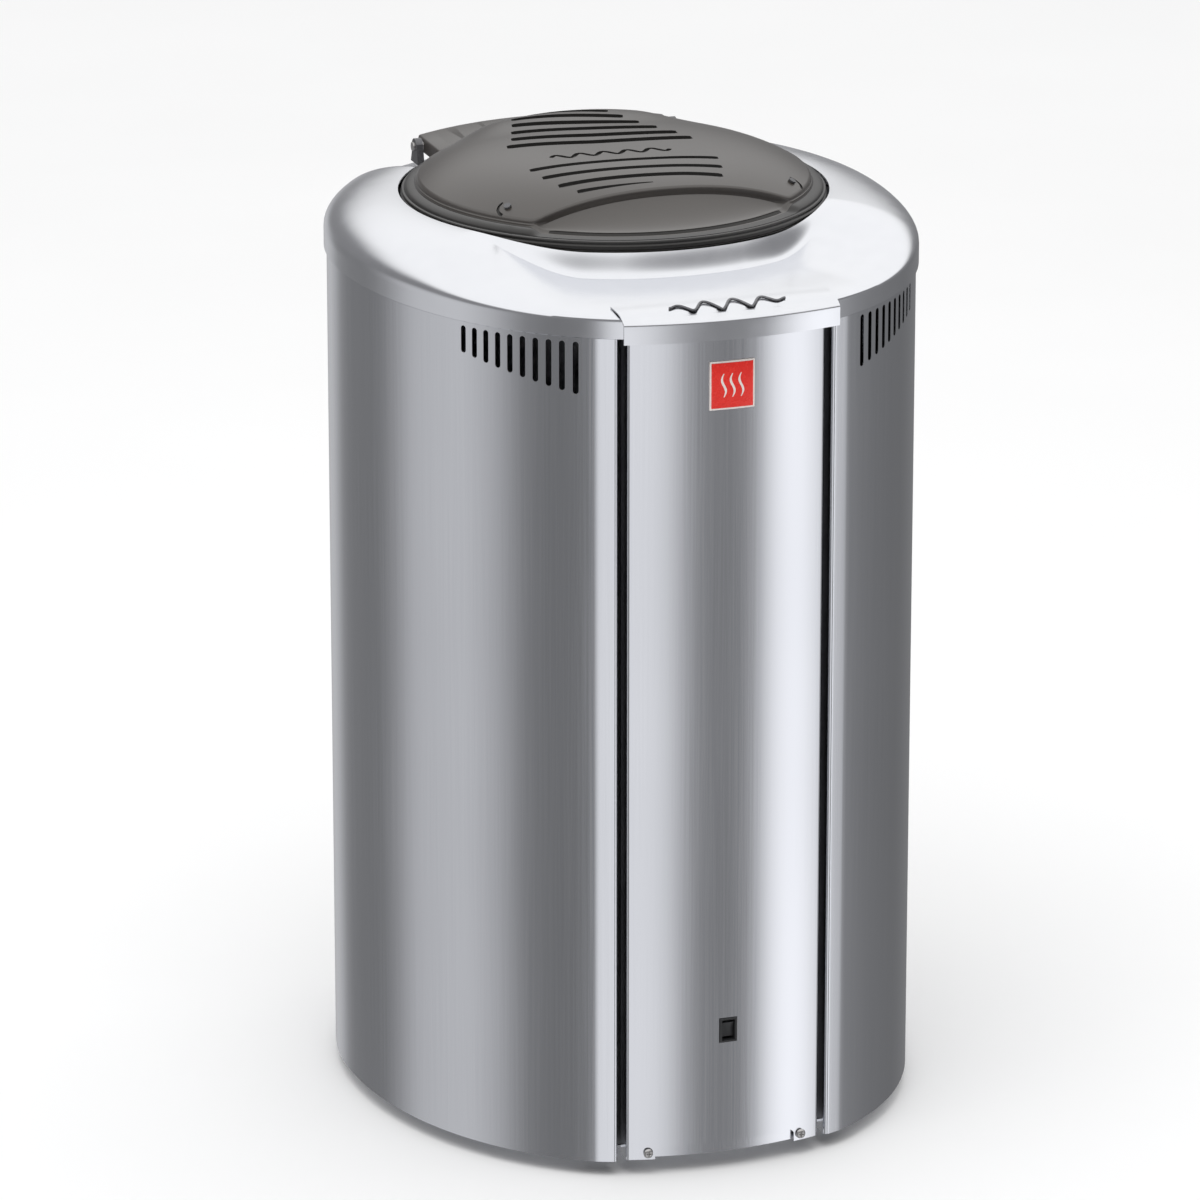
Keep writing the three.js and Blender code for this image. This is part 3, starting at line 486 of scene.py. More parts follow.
def sheet_data(path, heights):
    """Closed sheet of SHEET thickness standing on an open path."""
    inner = path + left_normals(path) * SHEET
    loops = []
    for outside, inside in zip(path, inner):
        loops.append([(*outside, z) for z in heights] + [(*inside, z) for z in reversed(heights)])
    return loft_data(loops)


def path_normals(path):
    """normal_at for a sheet standing on the path, worked out in batches of points."""
    fine = dense(path, 0.5)
    left = left_normals(fine)
    batch = 4000

    def normal_at(points):
        found = np.zeros((len(points), 3))
        for start in range(0, len(points), batch):
            part = points[start:start + batch, :2]
            near = ((part[:, None] - fine[None]) ** 2).sum(2).argmin(1)
            found[start:start + batch, :2] = left[near]
        return found
    return normal_at


# ---- casing ----
CASING_TOP = 724.0
# strip beside the panel: from the flange at CORNER_X, CORNER_PROUD before the panel's face
CORNER_X = 92.0
CORNER_PROUD = 1.3
STRIP_END_X = 107.5
# y of the flat at the rear, and x where the casing ends beside the rear panel
REAR_FLAT = 265.2
REAR_END_X = 88.3
# vent slots
SLOT_COUNT = 10
SLOT_START_X = 195.0
SLOT_TOP = 713.0
SLOT_RADIUS = 2.5
SLOT_LENGTHS = (23, 44)
SLOT_PITCH = 11.5


def casing_path():
    """Casing from above: flange, bend, strip in line with the panel, side curve, rear flat."""
    radius = PANEL_RADIUS + CORNER_PROUD
    bend_x = CORNER_X + BEND_RADIUS
    bend_y = PANEL_CENTRE_Y - sqrt((radius - BEND_RADIUS) ** 2 - bend_x ** 2)
    bend = np.array([bend_x, bend_y])
    strip_start = asin(bend_x / (radius - BEND_RADIUS))
    strip_end = asin(STRIP_END_X / radius)
    path = [np.array([CORNER_X, bend_y + reach]) for reach in (14, 9, 4)]
    for i in range(12):
        angle = mix(-pi, strip_start - pi / 2, i / 12)
        path.append(bend + BEND_RADIUS * np.array([cos(angle), sin(angle)]))
    for angle in np.linspace(strip_start, strip_end - 0.004, 8):
        path.append(np.array([radius * sin(angle), PANEL_CENTRE_Y - radius * cos(angle)]))
    start = solve(lambda angle: outline(angle)[0] < STRIP_END_X + 1.0, 0, pi / 2)
    end = solve(lambda angle: outline(angle)[1] < REAR_FLAT, 0, pi)
    path += [outline(mix(start, end, i / 200)) for i in range(201)]
    path += [np.array([path[-1][0] - 4, REAR_FLAT]), np.array([REAR_END_X, REAR_FLAT])]
    return np.array(path)


def slot_data(side):
    """Row of upright slots, longer towards the front."""
    pieces = []
    angle = solve(lambda value: outline(value)[0] < SLOT_START_X, 0, pi / 2)
    for i in range(SLOT_COUNT):
        here = outline(angle)
        tangent = outline(angle + 0.001) - here
        tangent /= np.linalg.norm(tangent)
        normal = np.array([tangent[1], -tangent[0]])
        length = mix(*SLOT_LENGTHS, i / (SLOT_COUNT - 1))
        section = []
        for start, middle in ((0, -SLOT_RADIUS), (1, SLOT_RADIUS - length)):
            for k in range(21):
                turn = pi * (start + k / 20)
                section.append((SLOT_RADIUS * cos(turn), middle + SLOT_RADIUS * sin(turn)))
        loops = []
        for depth in (-6, 6):
            loop = []
            for across, up in section:
                spot = here + tangent * across + normal * depth
                loop.append((side * spot[0], spot[1], SLOT_TOP + up))
            loops.append(loop)
        pieces.append(loft_data(loops))
        travelled = 0.0
        while travelled < SLOT_PITCH:
            before = outline(angle)
            angle -= 0.0005
            travelled += np.linalg.norm(before - outline(angle))
    return merge_data(pieces)


def make_casing():
    for side, name in ((1, "right_casing"), (-1, "left_casing")):
        path = casing_path()
        points, faces = sheet_data(path, [0.0, 660.0, 718.0, CASING_TOP])
        points[:, 0] *= side
        make_piece(name + "_sheet", (points, faces), "root", "casing_steel", name,
                   cuts=[slot_data(side)], normals=path_normals(path * np.array([side, 1])))


def panel_arc(radius, half_width, steps):
    sweep = asin(half_width / radius)
    angles = np.linspace(-sweep, sweep, steps + 1)
    return np.stack([radius * np.sin(angles), PANEL_CENTRE_Y - radius * np.cos(angles)], 1)


def panel_face(x):
    return PANEL_CENTRE_Y - sqrt(PANEL_RADIUS ** 2 - x * x)


def panel_path():
    """Front panel from above: flange, bend, curved face, bend, flange."""
    arc = panel_arc(PANEL_RADIUS, PANEL_HALF - BEND_RADIUS, 60)
    right = [point for point in arc if point[0] >= 0]
    sweep = asin((PANEL_HALF - BEND_RADIUS) / PANEL_RADIUS)
    centre = right[-1] + BEND_RADIUS * np.array([-sin(sweep), cos(sweep)])
    for i in range(1, 13):
        angle = mix(-pi / 2 + sweep, 0, i / 12)
        right.append(centre + BEND_RADIUS * np.array([cos(angle), sin(angle)]))
    corner = right[-1]
    for reach in (4, 9, 13):
        right.append(corner + np.array([0.0, reach]))
    right = np.array(right)
    left = right[::-1] * np.array([-1, 1])
    return np.vstack([left[:-1], right])


def make_front_panel():
    path = panel_path()
    notch = [(-62, -5), (62, -5), (62, 9), (59, 12), (-59, 12), (-62, 9)]
    cutters = [
        loft_data([[(x, y, z) for x, z in notch] for y in (-270, -245)]),
        box_data(-8, 8, -262, -245, 101, 123),
        disc_data(SCREW_X, SCREW_Z, 2.4, -262, -235),
        disc_data(-SCREW_X, SCREW_Z, 2.4, -262, -235),
    ]
    make_piece("front_panel_sheet", sheet_data(path, [1.0, 40.0, 160.0, 716.5]), "root",
               "casing_steel", "front_panel", cuts=[merge_data(cutters)],
               normals=path_normals(path))


def make_panel_screws():
    """Pan-head screws with a cross recess."""
    profile = [(0, -3.6), (1.6, -3.55), (3.0, -3.1), (3.9, -2.3), (4.2, -1.6), (4.2, -1.4),
               (1.9, -1.35), (1.9, 9.0), (0, 9.0)]
    points, faces = lathe_data(profile, 40, (0.0, 0.0))
    for side, name in ((-1, "panel_screw_left"), (1, "panel_screw_right")):
        x = side * SCREW_X
        face = panel_face(x)
        turned = np.stack([points[:, 0] + x, points[:, 2] + face, points[:, 1] + SCREW_Z], 1)
        cross = [box_data(x - across, x + across, face - 5, face - 2.3, SCREW_Z - up, SCREW_Z + up)
                 for across, up in ((2.3, 0.4), (0.4, 2.3))]
        make_piece(name + "_head", (turned, faces), "root", "tank_steel", name, cuts=cross)


def make_base_plate():
    """Floor of the casing, with the upturned strip that shows in the panel's notch."""
    edge = []
    for i in range(240):
        x, y = outline(2 * pi * i / 240, -5)
        edge.append((x, min(max(y, -216), REAR_FLAT - 4)))
    plate = loft_data([[(x, y, z) for x, y in edge] for z in (2, 4)])
    piece = raw_object("base_plate_sheet", *plate, "casing_steel")
    combine(piece, box_data(-78, 78, -241, -211, 2, 4), "UNION", "casing_steel")
    strip = panel_arc(PANEL_RADIUS - 3, 80, 60)
    combine(piece, sheet_data(strip, [2.2, 24.0]), "UNION", "casing_steel")
    cutters = [box_data(-35, 35, 110 + 18 * i, 118 + 18 * i, -5, 10) for i in range(5)]
    cutters += [disc_data(side * SCREW_X, SCREW_Z, 2.3, -262, -225) for side in (-1, 1)]
    cutters.append(through_hole(-40.0, -150.0, 6, -5, 10, 48))
    combine(piece, merge_data(cutters), "DIFFERENCE", "casing_steel")
    shade_by_angle(piece)
    finish_piece(piece, "root", "casing_steel", "base_plate")


# ---- badge and switch ----
def curved_plate(radius, half_width, z0, z1, thickness):
    """Plate lying on the panel's curve, its face at the given radius."""
    arc = panel_arc(radius, half_width, 24)
    back = panel_arc(radius - thickness, half_width * (radius - thickness) / radius, 24)
    return loft_data([[(*front, z0), (*front, z1), (*rear, z1), (*rear, z0)]
                      for front, rear in zip(arc, back)])


def heat_wave(offset):
    """Rising line across the badge's field."""
    loops = []
    for i in range(33):
        t = i / 32
        x = offset + 1.7 * sin(2 * pi * t)
        half = 0.35 + 0.75 * sin(pi * t)
        loop = []
        for reach, across in ((1.7, -half), (2.0, -half), (2.0, half), (1.7, half)):
            radius = PANEL_RADIUS + reach
            angle = (x + across) / radius
            loop.append((radius * sin(angle), PANEL_CENTRE_Y - radius * cos(angle),
                         mix(663.5, 683.5, t)))
        loops.append(loop)
    return loft_data(loops)


def make_badge():
    """White border, red field and three heat waves."""
    make_piece("badge_border", curved_plate(PANEL_RADIUS + 1.5, 19.5, 653, 694, 1.1), "root",
               "badge_enamel", "badge_plate", bevel=(0.3, 2), material="badge_print")
    make_piece("badge_field", curved_plate(PANEL_RADIUS + 1.9, 18.0, 654.5, 692.5, 0.6), "root",
               "badge_enamel", bevel=(0.15, 2))
    waves = merge_data([heat_wave(offset) for offset in (-7.5, 0.0, 7.5)])
    make_piece("badge_waves", waves, "root", "badge_enamel", material="badge_print")


def make_switch():
    make_piece("switch_frame", box_data(-7.6, 7.6, -256.4, -240, 101.4, 122.6), "root",
               "black_plastic", "switch_bezel", cuts=[box_data(-5.6, 5.6, -260, -243, 103, 121)],
               bevel=(0.45,))
    # rocker: a dished face, and two flanks that meet behind the pin
    profile = [(-6.9, -1.0)]
    for t in np.arange(13) / 12:
        sag = (1 - t) ** 2 * -4.6 + 2 * t * (1 - t) * -1.6 + t * t * -2.4
        profile.append((mix(-6.6, 6.6, t), sag))
    profile += [(6.8, 1.0), (0.0, 5.0)]
    pin_y, pin_z = -250.5, 112
    loops = [[(x, pin_y + depth, pin_z - along) for along, depth in profile] for x in (-5.0, 5.0)]
    make_piece("switch_rocker_cap", loft_data(loops), "switch_rocker", "black_plastic",
               "power_rocker", bevel=(0.35, 2, 40))


# ---- collar, visor and ornament ----
LIP_TOP = 733.0
# the lip stands this far outside the casing, with a flat front under the visor
LIP_REACH = 2.3
LIP_FRONT = -250.0
SEAT_RADIUS = 182.0
COLLAR_SHEET = 1.4
# rise from the lip at the sides and the rear, and of the crest and the neck at the front
SIDE_RISE = 32.0
REAR_RISE = 16.0
CREST_RISE = 5.0
NECK_RISE = 19.5


def collar_height(angle, run):
    """Height of the collar's top surface: run is 0 at the lip and 1 at the lid's seat."""
    around = abs(atan2(sin(angle), cos(angle)))
    side = LIP_TOP + SIDE_RISE * sqrt(max(1 - (1 - run) ** 2, 0))
    crest = CREST_RISE * sqrt(max(1 - (1 - min(run / 0.75, 1)) ** 4, 0))
    neck = NECK_RISE * smooth(0.9, 1.04, run) / smooth(0.9, 1.04, 1)
    front = LIP_TOP + crest + neck
    rear = LIP_TOP + REAR_RISE * sqrt(max(1 - (1 - min(run * 1.6, 1)) ** 2, 0))
    # the front and the rear have shapes of their own, blended into the sides
    share_front = 1 - smooth(0.45, 1.05, around)
    share_rear = smooth(2.28, 2.48, around)
    return float(mix(mix(side, front, share_front), rear, share_rear))


def collar_point(angle, run, grow, drop):
    """Point of the collar's surface, or of one moved inwards by -grow and down by drop."""
    reach = LIP_REACH + grow
    outer = outline(angle, reach)
    outer[1] = min(max(outer[1], LIP_FRONT - grow), REAR_FLAT + reach)
    inner = np.array([SEAT_RADIUS * sin(angle), LID_Y - SEAT_RADIUS * cos(angle)])
    return (*mix(outer, inner, run), collar_height(angle, run) - drop)


def collar_angles(steps):
    """Even angles with the flats' corners added, so that they stay crisp."""
    angles = list(np.linspace(-pi, pi, steps, endpoint=False))
    front, rear = (solve(lambda value: outline(value, LIP_REACH)[1] < flat, 0, pi)
                   for flat in (LIP_FRONT, REAR_FLAT + LIP_REACH))
    angles += [front, -front, rear, -rear]
    return sorted(angles)


def make_collar():
    runs = [1 - cos(t * pi / 2) for t in np.linspace(0.06, 0.62, 12)]
    runs += list(np.linspace(runs[-1] + 0.03, 0.86, 10)) + list(np.linspace(0.895, 1, 20))
    loops = []
    for angle in collar_angles(480):
        lip = collar_point(angle, 0, 0, 0)
        inward = collar_point(angle, 0, -COLLAR_SHEET, 0)
        loop = [(*mix(np.array(lip[:2]), np.array(inward[:2]), 0.4), 717.0)]
        loop += [(lip[0], lip[1], z) for z in (717.5, 719.0, 725.0, 731.0, 732.4)]
        loop += [collar_point(angle, run, 0, 0) for run in runs]
        loop += [collar_point(angle, run, -COLLAR_SHEET, COLLAR_SHEET) for run in reversed(runs)]
        loop += [(inward[0], inward[1], 730.0), (inward[0], inward[1], 717.0)]
        loops.append(loop)
    make_piece("collar_pressing", loft_data(loops, ring=True), "root", "collar_steel",
               "top_collar", crease=40)


VISOR_RADIUS = 382.0
VISOR_FRONT = -267.5
VISOR_HALF = 93.0
VISOR_ROLL = 3.0


def visor_skin(y):
    """Height of the collar's front with the visor's clearance."""
    run = max(y - LIP_FRONT, 0) / (LID_Y - SEAT_RADIUS - LIP_FRONT)
    return collar_height(0, run) + 0.8


def make_visor():
    """Front band with a rolled top edge and a skin that dies into the collar."""
    sweep = asin(VISOR_HALF / VISOR_RADIUS)
    ledges = list(np.linspace(-258, -222, 16))
    loops = []
    for angle in np.linspace(-sweep, sweep, 73):
        x = VISOR_RADIUS * sin(angle)
        front = VISOR_FRONT + VISOR_RADIUS * (1 - cos(angle))
        top = []
        for k in range(9):
            turn = pi / 2 * k / 8
            top.append((front + VISOR_ROLL * (1 - cos(turn)),
                        LIP_TOP + VISOR_ROLL * (sin(turn) - 1)))
        skin = []
        for y in ledges:
            ahead = mix(top[-1][1], visor_skin(y) + 1.2, float(smooth(-262, -250, y)))
            fade = float(smooth(-246, -222, y))
            skin.append((max(y, front + VISOR_ROLL + 0.4 * (y + 258) + 0.2), ahead - fade))
        skin = [point for point in skin if point[0] > top[-1][0] + 0.3]
        while len(skin) < len(ledges):
            first = skin[0]
            skin.insert(0, ((top[-1][0] + first[0]) / 2, (top[-1][1] + first[1]) / 2))
        outer = [(front, 715.0), (front, 717.0), (front, 724.0)] + top + skin
        inner = [(max(y + (SHEET if y < front + VISOR_ROLL else 0), front + SHEET),
                  z - (0 if y < front + 1 else 1.1)) for y, z in reversed(outer)]
        loops.append([(x, y, z) for y, z in outer + inner])
    make_piece("visor_band", loft_data(loops), "root", "collar_steel", "front_visor", crease=40)


def ornament_point(t):
    """Middle of the running wave, which fades out at both ends."""
    swell = 1 - (2 * t - 1) ** 4
    return np.array([mix(-50, 50, t), -243 + 7 * swell * sin(8 * pi * t)])


def make_ornament():
    """Slim half-round rod along the wave, lying on the visor."""
    loops = []
    for i in range(161):
        t = i / 160
        spot = ornament_point(t)
        ahead = ornament_point(t + 0.001) - ornament_point(t - 0.001)
        ahead /= np.linalg.norm(ahead)
        base = visor_skin(spot[1]) + 1.5
        loop = []
        for k in range(13):
            turn = pi * k / 12
            across = 1.4 * cos(turn)
            loop.append((spot[0] + across * ahead[1], spot[1] - across * ahead[0],
                         base + 1.8 * sin(turn)))
        loops.append(loop)
    make_piece("visor_wave", loft_data(loops), "root", "ornament_chrome",
               "visor_ornament", crease=50)


# ---- lid ----
LID_EDGE = 177.0
LID_UNDERSIDE = 766.4
# the dome and the flat bulge behind it that joins the hinge housing
DOME_FOOT = 773.0
DOME_RISE = 31.0
DOME_RADIUS = 172.0
BULGE_RISE = 7.0
# hand recess: a straight wall this far in front of the axis, and the shoulder it ends on
RECESS_WALL = 123.0
SHOULDER = 166.5
BAND_START = 168.2
# the band beyond this radius is painted black, as painted shade on the lid's edge
BAND_SHADE_FROM = 168.0
# hinge pin, and half the width of the housing round it
PIN_Y = 220.0
PIN_Z = 766.0
HUMP_HALF = 112.0


def lid_height(x, y):
    """Height of the lid's top surface."""
    radius = np.hypot(x, np.asarray(y, float) - LID_Y)
    dome = DOME_FOOT + DOME_RISE * (1 - np.minimum(radius / DOME_RADIUS, 1) ** 3.8)
    return dome + BULGE_RISE * smooth(100, 175, y) * (1 - smooth(60, 115, np.abs(x)))


def lid_normals(points):
    """Normals of the top surface; zero at points below it, in the recess and the grooves."""
    step = 0.2
    x, y = points[:, 0], points[:, 1]
    slope_x = (lid_height(x + step, y) - lid_height(x - step, y)) / (2 * step)
    slope_y = (lid_height(x, y + step) - lid_height(x, y - step)) / (2 * step)
    normal = np.stack([-slope_x, -slope_y, np.ones(len(x))], 1)
    normal /= np.linalg.norm(normal, axis=1)[:, None]
    normal[lid_height(x, y) - points[:, 2] > 1.2] = 0.0
    return normal


def lid_profile(angle):
    """(radius, height) pairs of the lid's section at an angle from the front, centre first."""
    chord = RECESS_WALL / max(cos(angle), 0.05)
    blend = 1.5
    edge = SHOULDER - blend * log1p(exp(min((SHOULDER - chord) / blend, 60)))
    # how much of a recess there is at this angle, from none to full
    depth = float(smooth(0, 7, SHOULDER - edge))

    def top(radius):
        return float(lid_height(radius * sin(angle), LID_Y - radius * cos(angle)))

    profile = [(radius, top(radius)) for radius in np.linspace(0, edge - 3, 26)]
    brow = top(edge - 3)
    slope = brow - top(edge - 4)
    for k in range(1, 6):
        turn = pi / 2 * k / 5
        profile.append((edge - 3 + 3 * sin(turn),
                        brow + slope * 3 * sin(turn) - 2.2 * (1 - cos(turn))))
    lip = profile[-1][1]
    foot = lip - 5.0 * depth
    profile.append((edge - 1.2 * depth, mix(lip, foot, 0.5) - 0.2))
    profile.append((edge - 1.4 * depth, foot - 0.4))
    # recess floor, falling from the foot of the wall to the lid's shoulder
    first = profile[-1][0]
    last = mix(edge + 0.8, 163.5, depth)
    low = mix(foot - 1.2, 769.6, depth)
    for k in range(1, 11):
        t = k / 10
        profile.append((mix(first, last, t), low + (foot - 0.4 - low) * (1 - t) ** 1.7))
    # shoulder, then the band around the lid's edge, lower in front of the recess
    valley = mix(771.0, 767.0, depth)
    profile += [(mix(last, BAND_START, t), mix(low, valley, t ** 0.6))
                for t in (0.25, 0.5, 0.75, 1)]
    # the band's top falls away outwards in an even curve
    for k in range(1, 11):
        turn = pi / 2 * k / 10
        profile.append((BAND_START + 8.7 * sin(turn), mix(766.9, valley, cos(turn))))
    profile += [(LID_EDGE, 766.8), (LID_EDGE, LID_UNDERSIDE), (150.0, LID_UNDERSIDE),
                (0.0, LID_UNDERSIDE)]
    return profile


def lid_body_data(sides=480):
    """The lid's section turned about its axis, with another section at each angle."""
    points, rows = [], []
    sections = [lid_profile(2 * pi * i / sides) for i in range(sides)]
    for j in range(len(sections[0])):
        if j in (0, len(sections[0]) - 1):
            rows.append([len(points)] * sides)
            points.append((0.0, LID_Y, sections[0][j][1]))
            continue
        rows.append(list(range(len(points), len(points) + sides)))
        for i, section in enumerate(sections):
            angle = 2 * pi * i / sides
            radius, z = section[j]
            points.append((radius * sin(angle), LID_Y - radius * cos(angle), z))
    return np.array(points), ring_faces(rows)


def groove_data(line, width, depth=3.0, taper=False):
    """Cutter along a line of (x, y) points whose floor follows the lid."""
    line = np.array(line, float)
    fine = []
    for before, after in zip(line, line[1:]):
        count = max(1, int(np.linalg.norm(after - before) / 3))
        fine += [mix(before, after, t) for t in np.linspace(0, 1, count, endpoint=False)]
    fine.append(line[-1])
    fine = np.array(fine)
    for _ in range(2):
        fine[1:-1] = (fine[:-2] + 2 * fine[1:-1] + fine[2:]) / 4
    left = left_normals(fine)
    above = 830.0
    loops = []
    for i, (spot, side) in enumerate(zip(fine, left)):
        share = i / (len(fine) - 1)
        half = width / 2 * ((1 - 0.75 * share) if taper else 1)
        if i in (0, len(fine) - 1):
            half *= 0.75
        one, two = spot + side * half, spot - side * half
        loops.append([(*one, above), (*one, float(lid_height(*one)) - depth),
                      (*two, float(lid_height(*two)) - depth), (*two, above)])
    return loft_data(loops)


FRONT_GROOVES = [
    [(-91, -11), (-49, -14), (-9, -17), (30, -21), (70, -26)],
    [(-87, -32), (-56, -35), (-17, -38), (25, -42), (66, -47)],
    [(-80, -53), (-50, -55), (-10, -58), (29, -61), (60, -65)],
]
REAR_GROOVES = [
    [(-87, 62), (-17, 46), (69, 37)],
    [(-76, 84), (-9, 68), (63, 58)],
    [(-68, 108), (-8, 93), (53, 80)],
    [(-60, 131), (-8, 116), (45, 103)],
    [(-53, 153), (-8, 140), (38, 125)],
    [(-48, 173), (-10, 163), (32, 147)],
]


def ring_slot(x, y, radius, start, end, width):
    """Curved slot about a screw, angles in degrees."""
    line = [(x + radius * cos(radians(a)), y + radius * sin(radians(a)))
            for a in np.linspace(start, end, 9)]
    return groove_data(line, width, 2.2)


def hump_data(half, inset, y0, y1, floor):
    """Hinge housing: arched across X and straight along Y."""
    section = [(-half, floor)]
    for x in np.linspace(-half, half, 49):
        across = min(abs(x) / HUMP_HALF, 1)
        section.append((x, DOME_FOOT - inset + 9 * (1 - across ** 2.5)))
    section.append((half, floor))
    return loft_data([[(x, y, z) for x, z in section] for y in (y0, y1)])


def paint_band_shade(piece):
    """Black rim plastic on the lid's outer band, clear of the hinge housing, as painted shade."""
    piece.data.materials.append(MATERIALS["rim_plastic"])
    black = len(piece.data.materials) - 1
    for polygon in piece.data.polygons:
        x, y, z = polygon.center / MM
        low = z - LIFT / MM < DOME_FOOT - 1
        if low and y < 160 and hypot(x, y - LID_Y) > BAND_SHADE_FROM:
            polygon.material_index = black


def make_lid_cover():
    hollow = hump_data(108, 2.2, 176, 229.8, 755)
    turns = np.linspace(0, 2 * pi, 32, endpoint=False)
    bore = loft_data([[(x, PIN_Y + 5 * cos(a), PIN_Z + 5 * sin(a)) for a in turns]
                      for x in (-120, 120)])
    hump = raw_object("hump", *hump_data(HUMP_HALF, 0, 170, 232, 760), "lid_plastic")
    bevelled(hump, 2.0, 4, 60)
    for cutter in (hollow, bore, box_data(-120, 120, 140, 182.5, 740, LID_UNDERSIDE)):
        combine(hump, cutter, "DIFFERENCE", "lid_plastic")
    shell = (millimetres(np.array([v.co for v in hump.data.vertices])),
             [tuple(p.vertices) for p in hump.data.polygons])
    bpy.data.objects.remove(hump)

    piece = raw_object("lid_shell", *lid_body_data(), "lid_plastic")
    combine(piece, hollow, "DIFFERENCE", "lid_plastic")
    combine(piece, shell, "UNION", "lid_plastic")
    cutters = [groove_data(line, 7.0) for line in FRONT_GROOVES]
    cutters += [groove_data(line, 11.5, 3.5) for line in REAR_GROOVES]
    cutters.append(groove_data([(-69, -69), (-39, -71), (-4, -73)], 6.0, 2.6, taper=True))
    # five waves between the grooves
    wave = [(x, 7 - 0.06 * x + 5.5 * sin((x + 65) / 103 * 10 * pi))
            for x in np.linspace(-65, 38, 65)]
    cutters.append(groove_data(wave, 4.4, 2.4))
    # deep grooves at the foot of the recess's wall and along its front edge, their near-black
    # faces painted shade for the recess's dark lines
    cutters.append(groove_data([(x, -86.4) for x in (-96, -50, 0, 50, 96)], 2.6, 8.9))
    edge = [(165.5 * sin(a), LID_Y - 165.5 * cos(a)) for a in np.linspace(-0.66, 0.66, 41)]
    cutters.append(groove_data(edge, 3.4, 9.6))
    for side, start in ((-1, 100), (1, -40)):
        cutters.append(ring_slot(side * 125, -55, 8.5, start, start + 120, 2.4))
    # every cut face takes the near-black groove_black; along the recess that black is painted
    # shade
    combine(piece, merge_data(cutters), "DIFFERENCE", "groove_black")
    # painted shade: the lid's outer band is coloured black
    paint_band_shade(piece)
    shade_by_angle(piece, 38)
    exact_normals(piece, lid_normals, 0.985)
    piece.visible_glossy = False
    finish_piece(piece, "lid", "lid_plastic", "lid_cover")


def make_lid_rim():
    profile = [(150, 757.2), (176, 757.0), (178.4, 757.5), (179.7, 758.8), (180, 760.2),
               (180, 762.0), (179.2, 762.6), (178.5, 763.0), (178.5, 763.8), (179.0, 764.3),
               (179.2, 765.2), (178.6, 766.0), (150, 766.0)]
    piece = make_piece("lid_rim_ring", lathe_data(profile, 240), "lid", "rim_plastic", "lid_rim",
                       cuts=[box_data(-103, 103, 208, 225, 750, 770)], crease=40)
    piece.visible_glossy = False


def make_turned_pieces():
    """Round pieces about the lid's axis that CAD holds with flat sides."""
    gasket = [(168, 754.2), (169, 753.5), (172, 753.3), (175, 753.5), (176, 754.2),
              (176, 756.7), (168, 756.7)]
    pan = [(0, 742.0), (131, 742.0), (134.4, 742.8), (136.6, 744.6), (139, 748.0), (139, 754.0),
           (140.2, 755.2), (154, 755.2), (154, 756.7), (139.4, 756.7), (137.5, 754.8),
           (137.5, 748.3), (135.4, 745.6), (133.2, 743.9), (131, 743.5), (0, 743.5)]
    seat = [(145, 750), (180, 750), (180.5, 750.5), (180.5, 752.6), (180, 753), (145.6, 753),
            (145, 752.6)]
    make_piece("lid_gasket_ring", lathe_data(gasket, 200), "lid", "black_rubber", "lid_gasket",
               crease=34)
    make_piece("lid_pan", lathe_data(pan, 200), "lid", "tank_steel", "lid_inner_pan", crease=34)
    make_piece("seat_ring", lathe_data(seat, 200), "root", "tank_steel", "lid_seat_ring",
               cuts=[through_hole(40.0, 194.0, 4.2, 740, 760, 32)], crease=34)


# ---- stone tank and heating elements ----
ELEMENT_RING = 95
ELEMENT_HALF = 30


def element_legs(index):
    """Plan positions of the two legs of one heating element."""
    angle = pi / 4 + index * pi / 2
    out = np.array([cos(angle), sin(angle)])
    across = np.array([-sin(angle), cos(angle)])
    middle = np.array([0, LID_Y]) + ELEMENT_RING * out
    return [middle + side * ELEMENT_HALF * across for side in (-1, 1)]


def make_tank():
    profile = [(0, 225), (144, 225), (147, 226), (148, 229), (148, 748.8), (147.4, 749.6),
               (146.4, 749.6), (146, 749), (146, 230), (145, 228), (143, 227), (0, 227)]
    holes = [through_hole(*leg, 4.85, 215, 235, 24)
             for index in range(4) for leg in element_legs(index)]
    holes.append(through_hole(0.0, LID_Y - 112, 4, 215, 235, 24))
    make_piece("stone_tank_shell", lathe_data(profile, 200), "root", "tank_steel", "stone_tank",
               cuts=[merge_data(holes)], crease=34)


def make_elements():
    for index in range(4):
        first, second = element_legs(index)
        along = (second - first) / np.linalg.norm(second - first)
        middle = (first + second) / 2
        route = [(*first, 188.0), (*first, 380.0)]
        for k in range(33):
            turn = pi * (1 - k / 32)
            spot = middle + along * ELEMENT_HALF * cos(turn)
            route.append((*spot, 570 + ELEMENT_HALF * sin(turn)))
        route += [(*second, 380.0), (*second, 188.0)]
        route = np.array(route)
        normal = np.array([-along[1], along[0], 0.0])
        loops = []
        for i, spot in enumerate(route):
            tangent = route[min(i + 1, len(route) - 1)] - route[max(i - 1, 0)]
            tangent /= np.linalg.norm(tangent)
            across = np.cross(tangent, normal)
            loops.append([spot + 4.25 * (across * cos(a) + normal * sin(a))
                          for a in np.linspace(0, 2 * pi, 24, endpoint=False)])
        name = f"heating_element_{index + 1}"
        make_piece(name + "_tube", loft_data(loops), "root", "element_sheath", name, crease=40)


# ---- feet ----
def make_feet():
    feet = [("foot_front_left", -110, -165), ("foot_front_right", 110, -165),
            ("foot_rear_left", -130, 190), ("foot_rear_right", 130, 190)]
    profile = [(0, -13), (14, -13), (15.8, -12.4), (16.8, -11), (17, -6.2), (16, -5.2),
               (8, -4.4), (6, -3.6), (6, 1.7), (0, 1.7)]
    for name, x, y in feet:
        make_piece(name + "_pad", lathe_data(profile, 64, (x, y)), "root", "black_rubber", name,
                   crease=40)


# ---- carried-over CAD pieces ----
def dress_cad():
    """Finish for every CAD node, and rounded edges for those that stay."""
    slots = {part["node"]: part["material_slot"] for part in frame["record"]["subparts"]}
    for name, node in frame["nodes"].items():
        node.data.materials.clear()
        node.data.materials.append(MATERIALS[slots[name]])
        if not node.hide_render:
            bevel_modifier(node, 0.35, 2, 40).harden_normals = False


